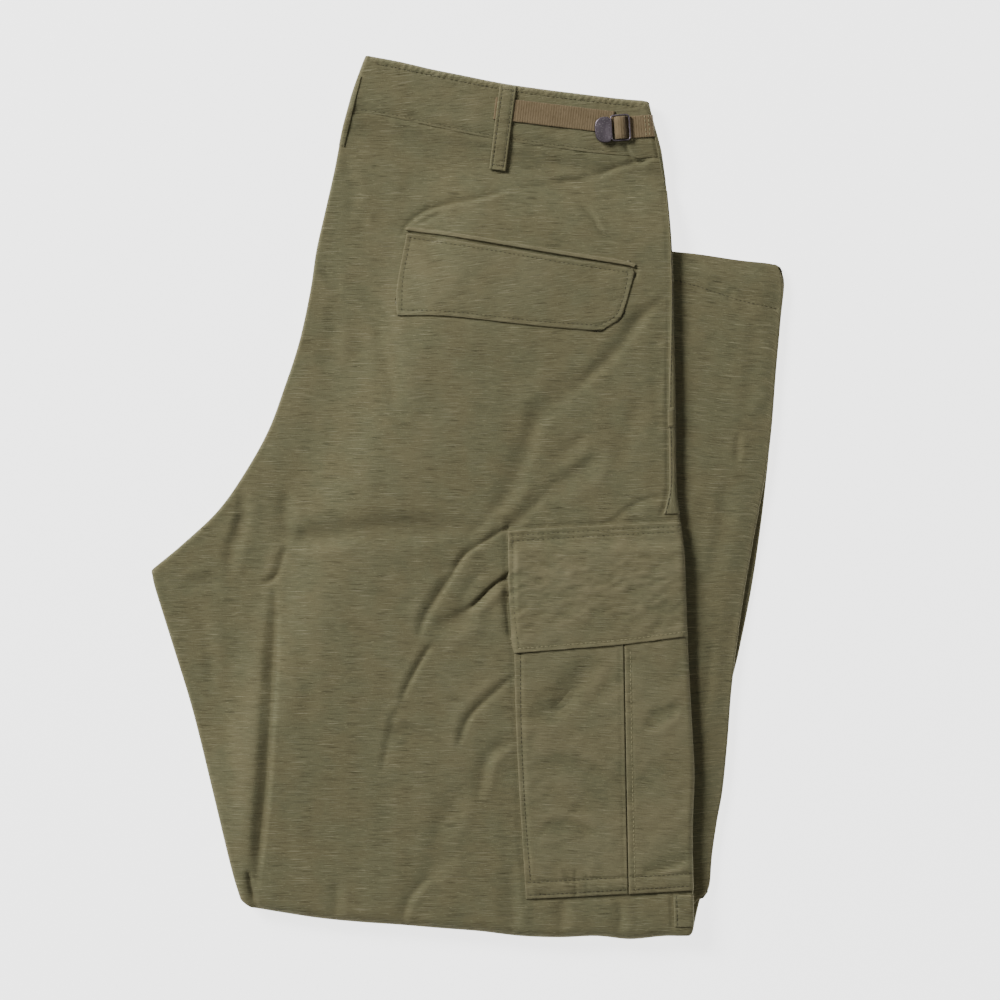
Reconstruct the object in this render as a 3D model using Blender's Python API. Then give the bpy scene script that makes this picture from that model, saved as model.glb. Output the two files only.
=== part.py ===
"""Cargo trousers of olive ripstop, folded flat: in half along the centre line, backs outside, then once
at the knee with both lower legs turned under the upper part.

Units: the tables and constants are in millimetres, and the meshes are made in metres. +X runs from the
centre-back seam to the side seam, +Y from the knee fold to the waistband and +Z up from the floor.
The origin is under the middle of the whole garment's box.
"""
import math

import bpy
import bmesh
import numpy as np
from mathutils import Vector
from mathutils.geometry import delaunay_2d_cdt

MM = 0.001

# Cloth and clearances
PLY = 1.2                 # wall of one layer of cloth
GAP = 0.3                 # clearance between two pieces
LEG_THICK = 3.2           # a lower leg pressed flat: two plies and the air between them
UNDER_LEGS = 2 * LEG_THICK + 2 * GAP   # height at which the upper stack lies on the lower legs
FRONTS = 4.6              # both front panels between the two back panels
BAND = 1.6                # waistband, four plies pressed
WEBBING = 1.3             # adjuster webbing
LOOP = 1.2                # belt loop strip
FLAP = 1.4                # pocket flap, two plies
POCKET = 2.2              # cargo pocket with its folded bellows
FELL = 0.8                # felled seam standing on its panel
LIP = 0.7                 # welt of the back pocket

# Roll of the edges
EDGE_ROLL = 2.4           # radius to which a panel's edge rolls over
EDGE_DROP = 2.9           # how far down a rolled edge reaches
SEAM_DROP = 3.6           # the same where both back panels meet at the centre-back seam
KNEE_ROLL = 6.5           # radius of the knee turn
KNEE_UNDER = 3.0          # how far the knee turn tucks in below
KNEE_FLOOR = 0.9          # height of the knee turn's lowest edge
KNEE_CLEAR = 5.2          # from the knee turn's outline to the layers inside it
KNEE_SPAN = (-160.0, 156.0)   # the knee turn from end to end, along x
KNEE_BLEND = 14.0         # over which it changes into the plain edges beside it
CREASE_ROOM = 2.6         # kept free below the top panel for its creases
DEEP_SPREAD = 2.2         # half-widths of a deep crease over which that room is widened
DEEP_ROOM = 0.9           # clearance below a deep crease
DEEP_MOST = 2.4           # the most that the room is widened by
LEG_SWELL = 1.6           # how much fuller the lower leg is where it shows
HEM_RISE = 0.6            # the turned hem's extra plies
HEM_SLIT = 5.0            # how far the opening between the hem's plies goes in
RAMP = 34.0               # width over which the upper stack falls from the lower legs to the floor
BAND_RAMP = 14.0          # the same from the left waistband

# Fullness of the front panels inside the fold: how much more than FRONTS, and over what width
FULL_AT_LEGS = 1.2
FULL_AT_KNEE = (1.4, 70.0)
FULL_AT_BAND = (1.2, 30.0)
WAVES = (0.35, 0.25)      # slow waves of the cloth across and along the panel

# Mesh spacing
RIM_STEP = 19.0           # along an outline
FIELD_STEP = 30.0         # between points in the open field of a panel
CREASE_STEP = 15.0        # along a crease
FREE = 8.5                # room kept clear of field points round a crease or an outline

# Outline of the upper stack: four edges. LEFT is the centre-back seam down to the crotch point and then
# the inseam, KNEE is the fold, RIGHT is the side seam and the cargo pocket's edge, WAIST is the top.
LEFT_EDGE = (             # x, y from the waist down
    (-73.8, 316.5), (-82.4, 293.4), (-90.4, 264.6), (-96.1, 235.8), (-102.6, 207.0), (-109.1, 178.2),
    (-113.4, 149.4), (-121.5, 112.0), (-132.8, 77.4), (-143.6, 48.6), (-159.5, 19.8), (-179.6, -9.0),
    (-206.0, -34.0), (-227.5, -52.2), (-225.0, -66.6), (-211.5, -110.0), (-198.4, -153.0),
    (-184.0, -210.6), (-169.6, -268.2), (-163.0, -290.0))
KNEE_EDGE = (             # x, y from left to right
    (-156.6, -294.8), (-135.0, -298.4), (-106.2, -302.8), (-77.4, -305.6), (-48.6, -307.6),
    (-19.8, -310.0), (9.0, -312.2), (37.8, -315.6), (66.6, -316.6), (93.0, -315.6), (117.0, -317.9),
    (140.0, -315.8), (160.5, -315.2))
RIGHT_EDGE = (            # x, y from the knee up
    (162.6, -311.0), (162.4, -282.0), (161.6, -239.4), (163.1, -196.2), (160.2, -145.8),
    (158.0, -99.7), (155.9, -40.7), (152.6, -13.0), (150.1, 8.0), (149.4, 70.2), (148.0, 142.2),
    (147.2, 178.2), (143.6, 221.4), (139.3, 250.2), (134.0, 270.0), (130.4, 284.0))
WAIST_EDGE = (            # x, y from right to left
    (127.0, 285.6), (109.8, 287.0), (81.0, 290.5), (52.2, 294.1), (23.4, 298.4), (-5.4, 304.2),
    (-27.0, 308.5), (-48.6, 313.6), (-70.0, 317.6))

# Outlines of the lower legs, each from the knee up its outer edge, along the hem and down its inner edge
LEFT_LEG_OUTER = (
    (157.0, -306.0), (163.0, -293.4), (170.5, -287.0), (174.6, -279.0), (176.4, -258.0), (180.0, -233.0),
    (184.0, -210.6), (187.6, -174.6), (190.4, -138.6), (194.8, -101.9), (199.8, -67.3), (207.0, -26.3),
    (214.9, 16.2), (219.2, 48.6), (222.6, 91.8), (225.6, 125.0), (227.6, 150.0))
LEFT_LEG_HEM = (
    (225.0, 163.0), (219.0, 168.4), (196.2, 171.0), (167.4, 175.3), (147.2, 177.5), (95.4, 183.2),
    (50.0, 188.4), (10.4, 192.6))
RIGHT_LEG_OUTER = (
    (163.5, -309.0), (166.9, -293.4), (171.0, -279.0), (175.0, -252.0), (181.6, -212.0),
    (186.0, -174.6), (189.7, -138.6), (196.2, -109.8), (204.8, -66.6), (211.3, -23.4), (216.4, 19.8),
    (219.0, 48.6), (222.2, 91.8), (226.0, 128.0), (228.6, 152.0))
RIGHT_LEG_HEM = (
    (227.4, 163.4), (222.4, 168.6), (196.2, 169.2), (147.2, 174.0), (95.4, 180.0), (13.0, 189.6))
LEG_INNER = (             # inseam side of both lower legs, hidden under the upper stack
    (0.0, 160.0), (-19.8, 120.6), (-63.0, 12.6), (-106.2, -109.8), (-138.6, -203.4), (-152.0, -262.0))
HEM_DEPTH = 21.0          # turned and stitched hem

# Creases of the top panel: depth of the groove, half-width, height of the ridge beside it (positive on
# the left of the path, negative on its right), and the path itself, as x, y points.
CREASES = (
    # name, depth, half_width, ridge, path
    ("seat_upper", 1.3, 4.5, 0.9, ((-47, 195), (-21, 210), (8, 213.5), (57, 223))),
    ("under_buckle", 1.0, 4.0, 0.6, ((95, 236), (122, 241.5), (133, 243.5))),
    ("hip_short", 0.7, 5.0, 0.5, ((83, 208), (95, 197), (107, 182.5))),
    ("hip_diagonal", 2.1, 5.0, 1.0, ((52, 66), (80, 76), (105, 104), (122, 124), (137, 134))),
    ("thigh_long", 1.9, 5.5, 1.2, ((-18, -64), (-2, -45), (17, -18), (30, 8), (38, 36), (50, 64))),
    ("thigh_second", 2.2, 5.5, -1.1, ((94, 31), (76, 17), (56, 2), (40, -14), (26, -24), (8, -37))),
    ("tuck_deep", 3.0, 5.0, -1.3, ((33, -50), (24, -58), (6, -74.5), (-7, -86), (-20, -97))),
    ("tuck_lower", 1.7, 4.5, -1.0, ((-20, -100), (-37, -122), (-47, -144), (-55, -168), (-61, -196))),
    ("pocket_side", 1.1, 6.0, -0.7, ((31, -128), (14, -147), (2, -162), (-4, -179))),
    ("pocket_side_low", 1.0, 7.0, 0.7, ((30, -178), (16, -188), (9, -208), (-10, -236))),
    ("knee_tuck", 1.8, 5.5, 1.0, ((-45, -296), (-42, -287), (-28, -273), (-10, -262))),
    ("seat_across", 1.8, 7.5, -0.9, ((-132, -26), (-112, -24), (-87, -17.5), (-57, -14.5), (-28, -18),
                                     (4, -16))),
    ("crotch_fell", 1.8, 4.0, -1.2, ((-168, -3), (-166.5, -20), (-171, -40), (-172.5, -62))),
    ("crotch_inner", 1.7, 4.5, 1.0, ((-131, -12), (-133, -41), (-137, -52), (-142, -62))),
    ("leg_groove", 4.4, 5.0, -1.2, ((-137, -68), (-141.5, -100), (-144, -131), (-148.5, -175),
                                    (-150, -218), (-151.5, -254), (-153.5, -280))),
    ("thigh_soft", 0.8, 8.0, 0.6, ((-75, 133), (-67, 98), (-52, 56))),
    ("seat_edge_soft", 0.7, 8.0, 0.5, ((-97, 128), (-101, 96), (-104, 66))),
    ("seam_tuck", 1.3, 4.0, 0.8, ((104, -13), (118, -8), (132, 0), (141, 4))),
)

# Pieces on the top panel: outlines as x, y points. Those that run to the panel's edge reach past it.
BAND_DEPTH = 41.0         # waistband, from the top edge to its seam
LOOP_WIDTH = 12.0
SEAM_LOOP_WIDTH = 4.6
BACK_LOOP = ((28.8, 292.5), (21.6, 235.5))          # centre line, top and bottom
CENTRE_LOOP = ((-82.0, 304.0), (-94.2, 254.0))
SIDE_LOOP = ((139.4, 264.0), (146.4, 228.0))
SEAM_LOOP = ((145.6, 64.5), (145.8, 50.5))
STRAP_WIDTH = 16.0
STRAP_RUN = ((24.0, 279.5), (105.0, 269.8))         # centre line of the long webbing run
STRAP_END = ((114.2, 266.1), (132.3, 267.3))        # its sewn end beyond the buckle's bar
BUCKLE_BAR = (110.0, 265.8)   # middle of the bar that the webbing turns over
BUCKLE_TURN = 4.0             # degrees from +X to its sewn end
BUCKLE_WIDTH = 20.0
BUCKLE_TAB = 18.6             # from the bar to the rounded end of the tab
BUCKLE_END = 7.4              # from the bar to the other end
BUCKLE_THICK = 1.5
BAR_WIDTH = 3.6
SLOT_WIDTH = 2.9              # on each side of the bar
SLOT_LENGTH = 16.8

BACK_FLAP = ((-43.6, 190.4), (-50.4, 155.6), (-50.8, 131.0), (-12.0, 130.0), (46.4, 123.6),
             (96.0, 119.9), (109.6, 128.6), (117.0, 150.0), (119.6, 161.0), (117.0, 164.6),
             (70.0, 171.6), (23.4, 179.6))
BACK_LIP = ((-40.4, 192.4), (23.4, 182.0), (70.0, 174.2), (110.0, 168.4), (112.0, 171.4), (70.0, 177.6),
            (23.4, 185.4), (-38.0, 195.6))
CARGO_FLAP = ((29.2, -24.1), (170.0, -15.2), (170.0, -97.0), (113.4, -105.5), (33.5, -112.0),
              (31.3, -99.0), (29.2, -57.2))
CARGO_BODY = ((34.0, -36.0), (33.0, -104.0), (35.0, -165.0), (37.8, -220.7), (42.1, -288.7),
              (78.8, -287.0), (116.3, -284.8), (114.2, -193.3), (112.7, -106.9), (111.0, -34.0))
CARGO_FRONT = ((111.8, -34.0), (113.5, -106.9), (115.0, -193.3), (117.1, -284.8), (170.0, -282.2),
               (170.0, -34.0))
SEAM_UPPER = ((143.6, 221.0), (146.2, 142.0), (144.6, 70.0), (145.2, 6.0), (141.0, -12.0),
              (170.0, -12.0), (170.0, 221.0))
SEAM_LOWER = ((148.7, -285.2), (150.2, -309.0), (170.0, -309.0), (170.0, -284.4))

# Soft creases of the cargo pocket's own cloth: depth, half-width, path
POCKET_CREASES = (
    ("below_flap", 1.0, 6.5, ((95, -118), (78, -133), (62, -151), (44, -160))),
    ("front_upper", 0.7, 5.0, ((150, -150), (138, -160), (128, -172))),
    ("front_lower", 0.7, 3.5, ((158, -262), (140, -266), (124, -270))),
)


# Plane geometry

def smooth_line(rows, step):
    """Points about a step apart on a Catmull-Rom curve through the rows."""
    rows = np.asarray(rows, float)
    ends = np.vstack([2 * rows[0] - rows[1], rows, 2 * rows[-1] - rows[-2]])
    fine = []
    for k in range(len(rows) - 1):
        p0, p1, p2, p3 = ends[k:k + 4]
        for t in np.linspace(0.0, 1.0, 12, endpoint=False):
            fine.append(0.5 * (2 * p1 + (p2 - p0) * t + (2 * p0 - 5 * p1 + 4 * p2 - p3) * t ** 2
                               + (3 * p1 - p0 - 3 * p2 + p3) * t ** 3))
    fine.append(rows[-1])
    fine = np.array(fine)
    run = np.concatenate([[0.0], np.cumsum(np.linalg.norm(np.diff(fine, axis=0), axis=1))])
    count = max(2, int(round(run[-1] / step)) + 1)
    at = np.linspace(0.0, run[-1], count)
    return np.column_stack([np.interp(at, run, fine[:, 0]), np.interp(at, run, fine[:, 1])])


def loop_normals(loop):
    """Outward mitre vectors of a closed anticlockwise loop, so that point - inset * vector insets it."""
    before = loop - np.roll(loop, 1, axis=0)
    after = np.roll(loop, -1, axis=0) - loop
    before /= np.linalg.norm(before, axis=1)[:, None]
    after /= np.linalg.norm(after, axis=1)[:, None]
    n1 = np.column_stack([before[:, 1], -before[:, 0]])
    n2 = np.column_stack([after[:, 1], -after[:, 0]])
    return (n1 + n2) / np.maximum(1.0 + (n1 * n2).sum(axis=1), 0.6)[:, None]


def inset_loop(loop, inset):
    """The loop moved in by an inset, one for all its points or one for each."""
    return loop - loop_normals(loop) * np.broadcast_to(np.asarray(inset, float), (len(loop),))[:, None]


def inside(points, loop):
    """Whether each point lies inside the closed loop, by counting crossings."""
    points = np.atleast_2d(points)
    x, y = points[:, 0], points[:, 1]
    hit = np.zeros(len(points), bool)
    for (x1, y1), (x2, y2) in zip(loop, np.roll(loop, -1, axis=0)):
        if y1 == y2:
            continue
        crosses = (y1 > y) != (y2 > y)
        hit ^= crosses & (x < (x2 - x1) * (y - y1) / (y2 - y1) + x1)
    return hit


def path_distance(points, path):
    """Signed distance to an open path, positive on its left, and the place along it from 0 to 1."""
    points = np.atleast_2d(points)
    path = np.asarray(path, float)
    steps = np.linalg.norm(np.diff(path, axis=0), axis=1)
    run = np.concatenate([[0.0], np.cumsum(steps)])
    best = np.full(len(points), 1e9)
    side = np.ones(len(points))
    along = np.zeros(len(points))
    for k in range(len(path) - 1):
        a, d = path[k], path[k + 1] - path[k]
        t = np.clip(((points - a) @ d) / (d @ d), 0.0, 1.0)
        off = points - (a + t[:, None] * d)
        dist = np.hypot(off[:, 0], off[:, 1])
        near = dist < best
        best = np.where(near, dist, best)
        side = np.where(near, np.sign(d[0] * off[:, 1] - d[1] * off[:, 0] + 1e-9), side)
        along = np.where(near, (run[k] + t * steps[k]) / run[-1], along)
    return best * side, along


def loop_distance(points, loop):
    """Distance to a closed loop, zero inside it."""
    dist, _ = path_distance(points, np.vstack([loop, loop[:1]]))
    return np.where(inside(points, loop), 0.0, np.abs(dist))


def strip_outline(line, width):
    """Four corners of a straight strip along a centre line."""
    a, b = np.asarray(line[0], float), np.asarray(line[1], float)
    d = (b - a) / np.linalg.norm(b - a)
    n = np.array([-d[1], d[0]]) * width / 2
    return np.array([a + n, b + n, b - n, a - n])[::-1]


def smooth_step(t):
    """0 to 1 as t goes from 0 to 1, level at both ends."""
    t = np.clip(t, 0.0, 1.0)
    return t * t * (3.0 - 2.0 * t)


# Outlines

def joined(edges, step):
    """One closed loop from edges in turn, with how each point is labelled by its edge's number."""
    points, labels = [], []
    for number, edge in enumerate(edges):
        line = smooth_line(edge, step)
        points.append(line)
        labels.append(np.full(len(line), number))
    return np.vstack(points), np.concatenate(labels)


UPPER, UPPER_EDGE = joined((KNEE_EDGE, RIGHT_EDGE, WAIST_EDGE, LEFT_EDGE), RIM_STEP)
LEFT_LEG, _ = joined((LEFT_LEG_OUTER, LEFT_LEG_HEM, LEG_INNER), RIM_STEP)
RIGHT_LEG, _ = joined((RIGHT_LEG_OUTER, RIGHT_LEG_HEM, LEG_INNER), RIM_STEP)


def knee_line(x):
    """The knee fold's y at each x."""
    rows = np.array(KNEE_EDGE)
    return np.interp(x, rows[:, 0], rows[:, 1])


def waist_line(x):
    """The waist edge's y at each x."""
    rows = np.array(WAIST_EDGE)[::-1]
    return np.interp(x, rows[:, 0], rows[:, 1])


def close_leg(loop):
    """The leg's loop, closed at the knee just inside the knee turn."""
    xs = np.linspace(KNEE_SPAN[0] + KNEE_BLEND, KNEE_SPAN[1] - 8.0, 17)
    return np.vstack([loop, np.column_stack([xs, knee_line(xs) + KNEE_CLEAR])])


LEFT_LEG = close_leg(LEFT_LEG)
RIGHT_LEG = close_leg(RIGHT_LEG)
LEG_PAIR = inset_loop(LEFT_LEG, -1.0)


# Heights

def support(points):
    """Height of what the upper stack lies on: the lower legs, the left waistband or the floor."""
    off = loop_distance(points, LEG_PAIR)
    legs = UNDER_LEGS * smooth_step(1.0 - off / RAMP)
    below = waist_line(points[:, 0]) - points[:, 1]
    band = (BAND + GAP) * smooth_step(1.0 - (below - BAND_DEPTH - 2.0) / BAND_RAMP)
    return np.maximum(legs, band)


def fronts(points):
    """Thickness of the two front panels: fuller over the legs, at the waistband and at the knee."""
    x, y = points[:, 0], points[:, 1]
    legs = smooth_step(1.0 - loop_distance(points, LEG_PAIR) / RAMP)
    knee = smooth_step(1.0 - (y - knee_line(x)) / FULL_AT_KNEE[1])
    band = smooth_step(1.0 - (waist_line(x) - y - BAND_DEPTH) / FULL_AT_BAND[1])
    waves = WAVES[0] * np.sin(x / 31.0 + 0.7) * np.sin(y / 47.0) + WAVES[1] * np.sin((x + y) / 38.0 + 1.9)
    return FRONTS + FULL_AT_LEGS * legs + FULL_AT_KNEE[0] * knee + FULL_AT_BAND[0] * band + waves


def crease_relief(points, rows):
    """Grooves with a ridge beside them: a bell across each path, fading out at both of its ends."""
    relief = np.zeros(len(points))
    for _, depth, half_width, ridge, path in rows:
        dist, along = path_distance(points, path)
        fade = smooth_step(np.minimum(along, 1.0 - along) / 0.22 + 0.25)
        fade *= smooth_step(2.4 - np.abs(dist) / (2.0 * half_width))
        groove = np.exp(-np.abs(dist / half_width) ** 3)
        beside = np.exp(-((dist - math.copysign(2.3 * half_width, ridge)) / (1.3 * half_width)) ** 2)
        relief += fade * (abs(ridge) * beside - depth * groove)
    return relief


def deep_creases(points):
    """How much more room the layers below leave for the creases that are deeper than CREASE_ROOM."""
    room = np.zeros(len(points))
    for _, depth, half_width, _, path in CREASES:
        if depth > CREASE_ROOM:
            dist, _ = path_distance(points, path)
            near = smooth_step(1.0 - (np.abs(dist) / half_width - DEEP_SPREAD) / 3.0)
            room = np.maximum(room, (depth - CREASE_ROOM + DEEP_ROOM) * near)
    return np.minimum(room, DEEP_MOST)


def stack_height(points):
    """Top of the upper stack before its creases."""
    return support(points) + PLY + GAP + fronts(points) + GAP + PLY


def panel_top(points):
    """Top of the right back panel, its creases fading out at the rim."""
    rim, _ = path_distance(points, np.vstack([UPPER, UPPER[:1]]))
    calm = smooth_step((np.abs(rim) - 2.0) / 10.0)
    return stack_height(points) + calm * crease_relief(points, CREASES)


# Solids

def new_object(name, verts, faces, material):
    """A closed mesh in metres from points in millimetres, its faces turned outwards."""
    mesh = bpy.data.meshes.new(name)
    mesh.from_pydata([tuple(v) for v in np.asarray(verts) * MM], [], faces)
    shape = bmesh.new()
    shape.from_mesh(mesh)
    bmesh.ops.recalc_face_normals(shape, faces=shape.faces)
    shape.to_mesh(mesh)
    shape.free()
    mesh.materials.append(material)
    piece = bpy.data.objects.new(name, mesh)
    bpy.context.scene.collection.objects.link(piece)
    return piece


def triangulate(loops, points, keep):
    """Triangles over plane points that hold every loop as edges, kept where keep says so."""
    verts = []
    edges = []
    for loop in loops:
        start = len(verts)
        verts += [Vector(p) for p in loop]
        edges += [(start + k, start + (k + 1) % len(loop)) for k in range(len(loop))]
    verts += [Vector(p) for p in points]
    out, _, faces, _, _, _ = delaunay_2d_cdt(verts, edges, [], 0, 1e-3)
    flat = np.array([tuple(v) for v in out])
    used, tris = picked(flat, np.array([list(f) for f in faces]), keep)
    return flat[used], tris


def open_edges(tris):
    """The edges that only one triangle has, each as it runs in that triangle."""
    seen = set()
    for a, b, c in tris:
        seen.update(((a, b), (b, c), (c, a)))
    return [(a, b) for a, b in seen if (b, a) not in seen]


def rim_of(tris):
    """The boundary of a patch of triangles, as one loop of point numbers in order."""
    after = dict(open_edges(tris))
    start = min(after)
    loop = [start]
    while after[loop[-1]] != start:
        loop.append(after[loop[-1]])
    return loop


def picked(flat, tris, keep):
    """The triangles that keep chooses by their middles, renumbered, with the points that they use."""
    tris = tris[keep(flat[tris].mean(axis=1))]
    used = np.unique(tris)
    index = np.full(len(flat), -1)
    index[used] = np.arange(len(used))
    return used, index[tris]


def slab(name, flat, tris, low, high, material):
    """A piece between two heights given at each plane point, with upright sides."""
    count = len(flat)
    faces = [tuple(t) for t in tris] + [tuple(t + count) for t in tris[:, ::-1]]
    faces += [(a, b, b + count, a + count) for a, b in sorted(open_edges(tris))]
    verts = np.vstack([np.column_stack([flat, high]), np.column_stack([flat, low])])
    return new_object(name, verts, faces, material)


def field_points(loop, taken, step):
    """A staggered grid of points inside a loop, clear of the points already taken."""
    low, high = loop.min(axis=0), loop.max(axis=0)
    grid = []
    for row, y in enumerate(np.arange(low[1], high[1], step * 0.87)):
        for x in np.arange(low[0] + (row % 2) * step / 2, high[0], step):
            grid.append((x, y))
    grid = np.array(grid)
    grid = grid[inside(grid, loop)]
    far = np.min(np.linalg.norm(grid[:, None] - taken[None], axis=2), axis=1) > FREE
    return grid[far]


def dense(loop, step):
    """A closed loop with its long sides cut into pieces of about a step."""
    points = []
    for a, b in zip(loop, np.roll(loop, -1, axis=0)):
        count = max(1, int(round(np.linalg.norm(b - a) / step)))
        points += [a + (b - a) * k / count for k in range(count)]
    return np.array(points)


def crease_points(rows, loop, step, spread):
    """Points along each crease and on both of its shoulders, where they are clear of the outline."""
    found = []
    for _, _, half_width, _, path in rows:
        line = smooth_line(path, step)
        along = np.gradient(line, axis=0)
        along /= np.linalg.norm(along, axis=1)[:, None]
        left = np.column_stack([-along[:, 1], along[:, 0]])
        for offset in (0.0, spread * half_width, -spread * half_width):
            found.append(line + offset * left)
    found = np.vstack(found)
    rim, _ = path_distance(found, np.vstack([loop, loop[:1]]))
    return found[inside(found, loop) & (np.abs(rim) > 6.0)]


def thin_out(points, room):
    """Drop each point that lies too near one kept before it."""
    kept = []
    for p in points:
        if all((p[0] - q[0]) ** 2 + (p[1] - q[1]) ** 2 > room ** 2 for q in kept):
            kept.append(p)
    return np.array(kept)


def along_loop(points, loop, values):
    """Values given at a loop's corners, read at points that lie on its sides."""
    result = []
    ahead = np.roll(loop, -1, axis=0)
    for p in points:
        d = ahead - loop
        t = np.clip(((p - loop) * d).sum(axis=1) / (d * d).sum(axis=1), 0.0, 1.0)
        k = int(np.argmin(np.linalg.norm(loop + t[:, None] * d - p, axis=1)))
        nxt = (k + 1) % len(loop)
        result.append(values[k] * (1 - t[k]) + values[nxt] * t[k])
    return np.array(result)


class Wall:
    """A wall of cloth that rolls over at its rim.

    The outer face is the height function over the outline, up for a top panel and down for one that
    lies on the floor. Near the rim it follows a quarter circle of radius roll and then drops to a plain
    edge. The inner face is the same form one ply further in.
    """

    def __init__(self, outline, height, side, roll, drop, tuck, loops, points):
        self.side = side
        bevel = 1.0 - math.sin(math.pi / 4)
        self.shoulder = inset_loop(outline, bevel * roll)
        self.ring = inset_loop(outline, roll)
        self.flat, self.tris = triangulate([self.shoulder, self.ring] + loops, points,
                                           lambda c: inside(c, self.shoulder))
        rim = rim_of(self.tris)
        on_rim = self.flat[rim]
        vectors = loop_normals(outline)
        self.height = height(self.flat)
        self.height[rim] -= side * bevel * along_loop(on_rim, self.shoulder, roll)
        pairs = np.column_stack([outline, vectors, roll, drop, tuck])
        at = along_loop(on_rim, self.shoulder, pairs)
        base, out, roll_at, drop_at, tuck_at = at[:, 0:2], at[:, 2:4], at[:, 4], at[:, 5], at[:, 6]
        crown = height(base - out * roll_at[:, None])

        def ring_at(inset, fall):
            return np.column_stack([base - out * inset[:, None], crown - side * fall])

        inner_roll = roll_at - PLY
        zero = np.zeros(len(rim))
        thin = zero + PLY
        half = math.sin(math.pi / 4)
        inner_top = self.flat.copy()
        inner_z = height(self.flat) - side * PLY
        corner = ring_at(roll_at - half * inner_roll, roll_at - half * inner_roll)
        inner_top[rim] = corner[:, :2]
        inner_z[rim] = corner[:, 2]
        rings = [ring_at(zero, roll_at), ring_at(tuck_at, drop_at), ring_at(tuck_at + thin, drop_at),
                 ring_at(thin, roll_at)]
        count = len(self.flat)
        verts = [np.column_stack([self.flat, self.height]), np.column_stack([inner_top, inner_z])] + rings
        faces = [tuple(t) for t in self.tris] + [tuple(t + count) for t in self.tris[:, ::-1]]
        size = len(rim)
        starts = [2 * count + k * size for k in range(4)]
        order = [rim] + [[s + k for k in range(size)] for s in starts] + [[r + count for r in rim]]
        for lower, upper in zip(order, order[1:]):
            for k in range(size):
                nxt = (k + 1) % size
                faces.append((lower[k], lower[nxt], upper[nxt], upper[k]))
        self.verts = np.vstack(verts)
        self.faces = faces

    def build(self, name, material):
        return new_object(name, self.verts, self.faces, material)

    def patch(self, name, outline, material, lift, thick):
        """A piece laid on this wall: the wall's own triangles inside an outline, moved out by lift.

        lift and thick are functions of plane points, so one patch can climb over another.
        """
        used, tris = picked(self.flat, self.tris, lambda c: inside(c, outline))
        flat = self.flat[used]
        low = self.height[used] + lift(flat)
        return slab(name, flat, tris, low, low + thick(flat), material)


def stack(name, outline, rings, low, high, points, material):
    """A rounded solid of pressed layers: rings from its underside to its top, closed by two caps.

    Each ring is an inset from the outline, per point, and a height as a share between low and high.
    """
    loops = [inset_loop(outline, inset) for inset, _ in rings]
    size = len(outline)
    verts = []
    for loop, (_, share) in zip(loops, rings):
        z_low, z_high = low(loop), high(loop)
        verts.append(np.column_stack([loop, z_low + (z_high - z_low) * share]))
    faces = []
    for k in range(len(loops) - 1):
        for a in range(size):
            b = (a + 1) % size
            faces.append((k * size + a, k * size + b, (k + 1) * size + b, (k + 1) * size + a))
    total = len(loops) * size
    for loop, start, height in ((loops[0], 0, low), (loops[-1], total - size, high)):
        flat, tris = triangulate([loop], points, lambda c, loop=loop: inside(c, loop))
        index = []
        extra = []
        for p in flat:
            near = np.linalg.norm(loop - p, axis=1)
            k = int(np.argmin(near))
            if near[k] < 1e-2:
                index.append(start + k)
            else:
                index.append(total + len(extra))
                extra.append(p)
        if extra:
            extra = np.array(extra)
            verts.append(np.column_stack([extra, height(extra)]))
            total += len(extra)
        faces += [tuple(index[v] for v in t) for t in tris]
    return new_object(name, np.vstack(verts), faces, material)


# Materials

def plain_material(name, colour, roughness, metallic=0.0):
    """One Principled material from a linear colour."""
    material = bpy.data.materials.new(name)
    material.use_nodes = True
    shader = material.node_tree.nodes["Principled BSDF"]
    shader.inputs["Base Color"].default_value = (*colour, 1.0)
    shader.inputs["Roughness"].default_value = roughness
    shader.inputs["Metallic"].default_value = metallic
    return material


def ripstop():
    return plain_material("olive_ripstop", (0.165, 0.138, 0.072), 0.9)


def webbing():
    return plain_material("brown_webbing", (0.175, 0.118, 0.066), 0.85)


def dark_metal():
    return plain_material("dark_metal", (0.075, 0.065, 0.075), 0.38, 0.9)


# The garment

def edge_profile():
    """Roll, drop and tuck for each point of the upper outline, blended between its edges.

    seam marks the centre-back seam, and clear is how far in the layers inside the knee turn end.
    """
    knee = UPPER_EDGE == 0
    x = UPPER[:, 0]
    ends = np.clip((x - KNEE_SPAN[0]) / KNEE_BLEND, 0, 1) * np.clip((KNEE_SPAN[1] - x) / KNEE_BLEND, 0, 1)
    share = np.where(knee, smooth_step(ends), 0.0)
    seam = (UPPER_EDGE == 3) & (UPPER[:, 1] > -40.0)
    full = stack_height(UPPER)
    roll = EDGE_ROLL + share * (KNEE_ROLL - EDGE_ROLL)
    drop = np.where(seam, SEAM_DROP, EDGE_DROP)
    drop = drop + share * (full - KNEE_FLOOR - drop)
    clear = np.where(knee, KNEE_CLEAR, 0.0)
    return roll, drop, share * KNEE_UNDER, seam, clear


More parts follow.
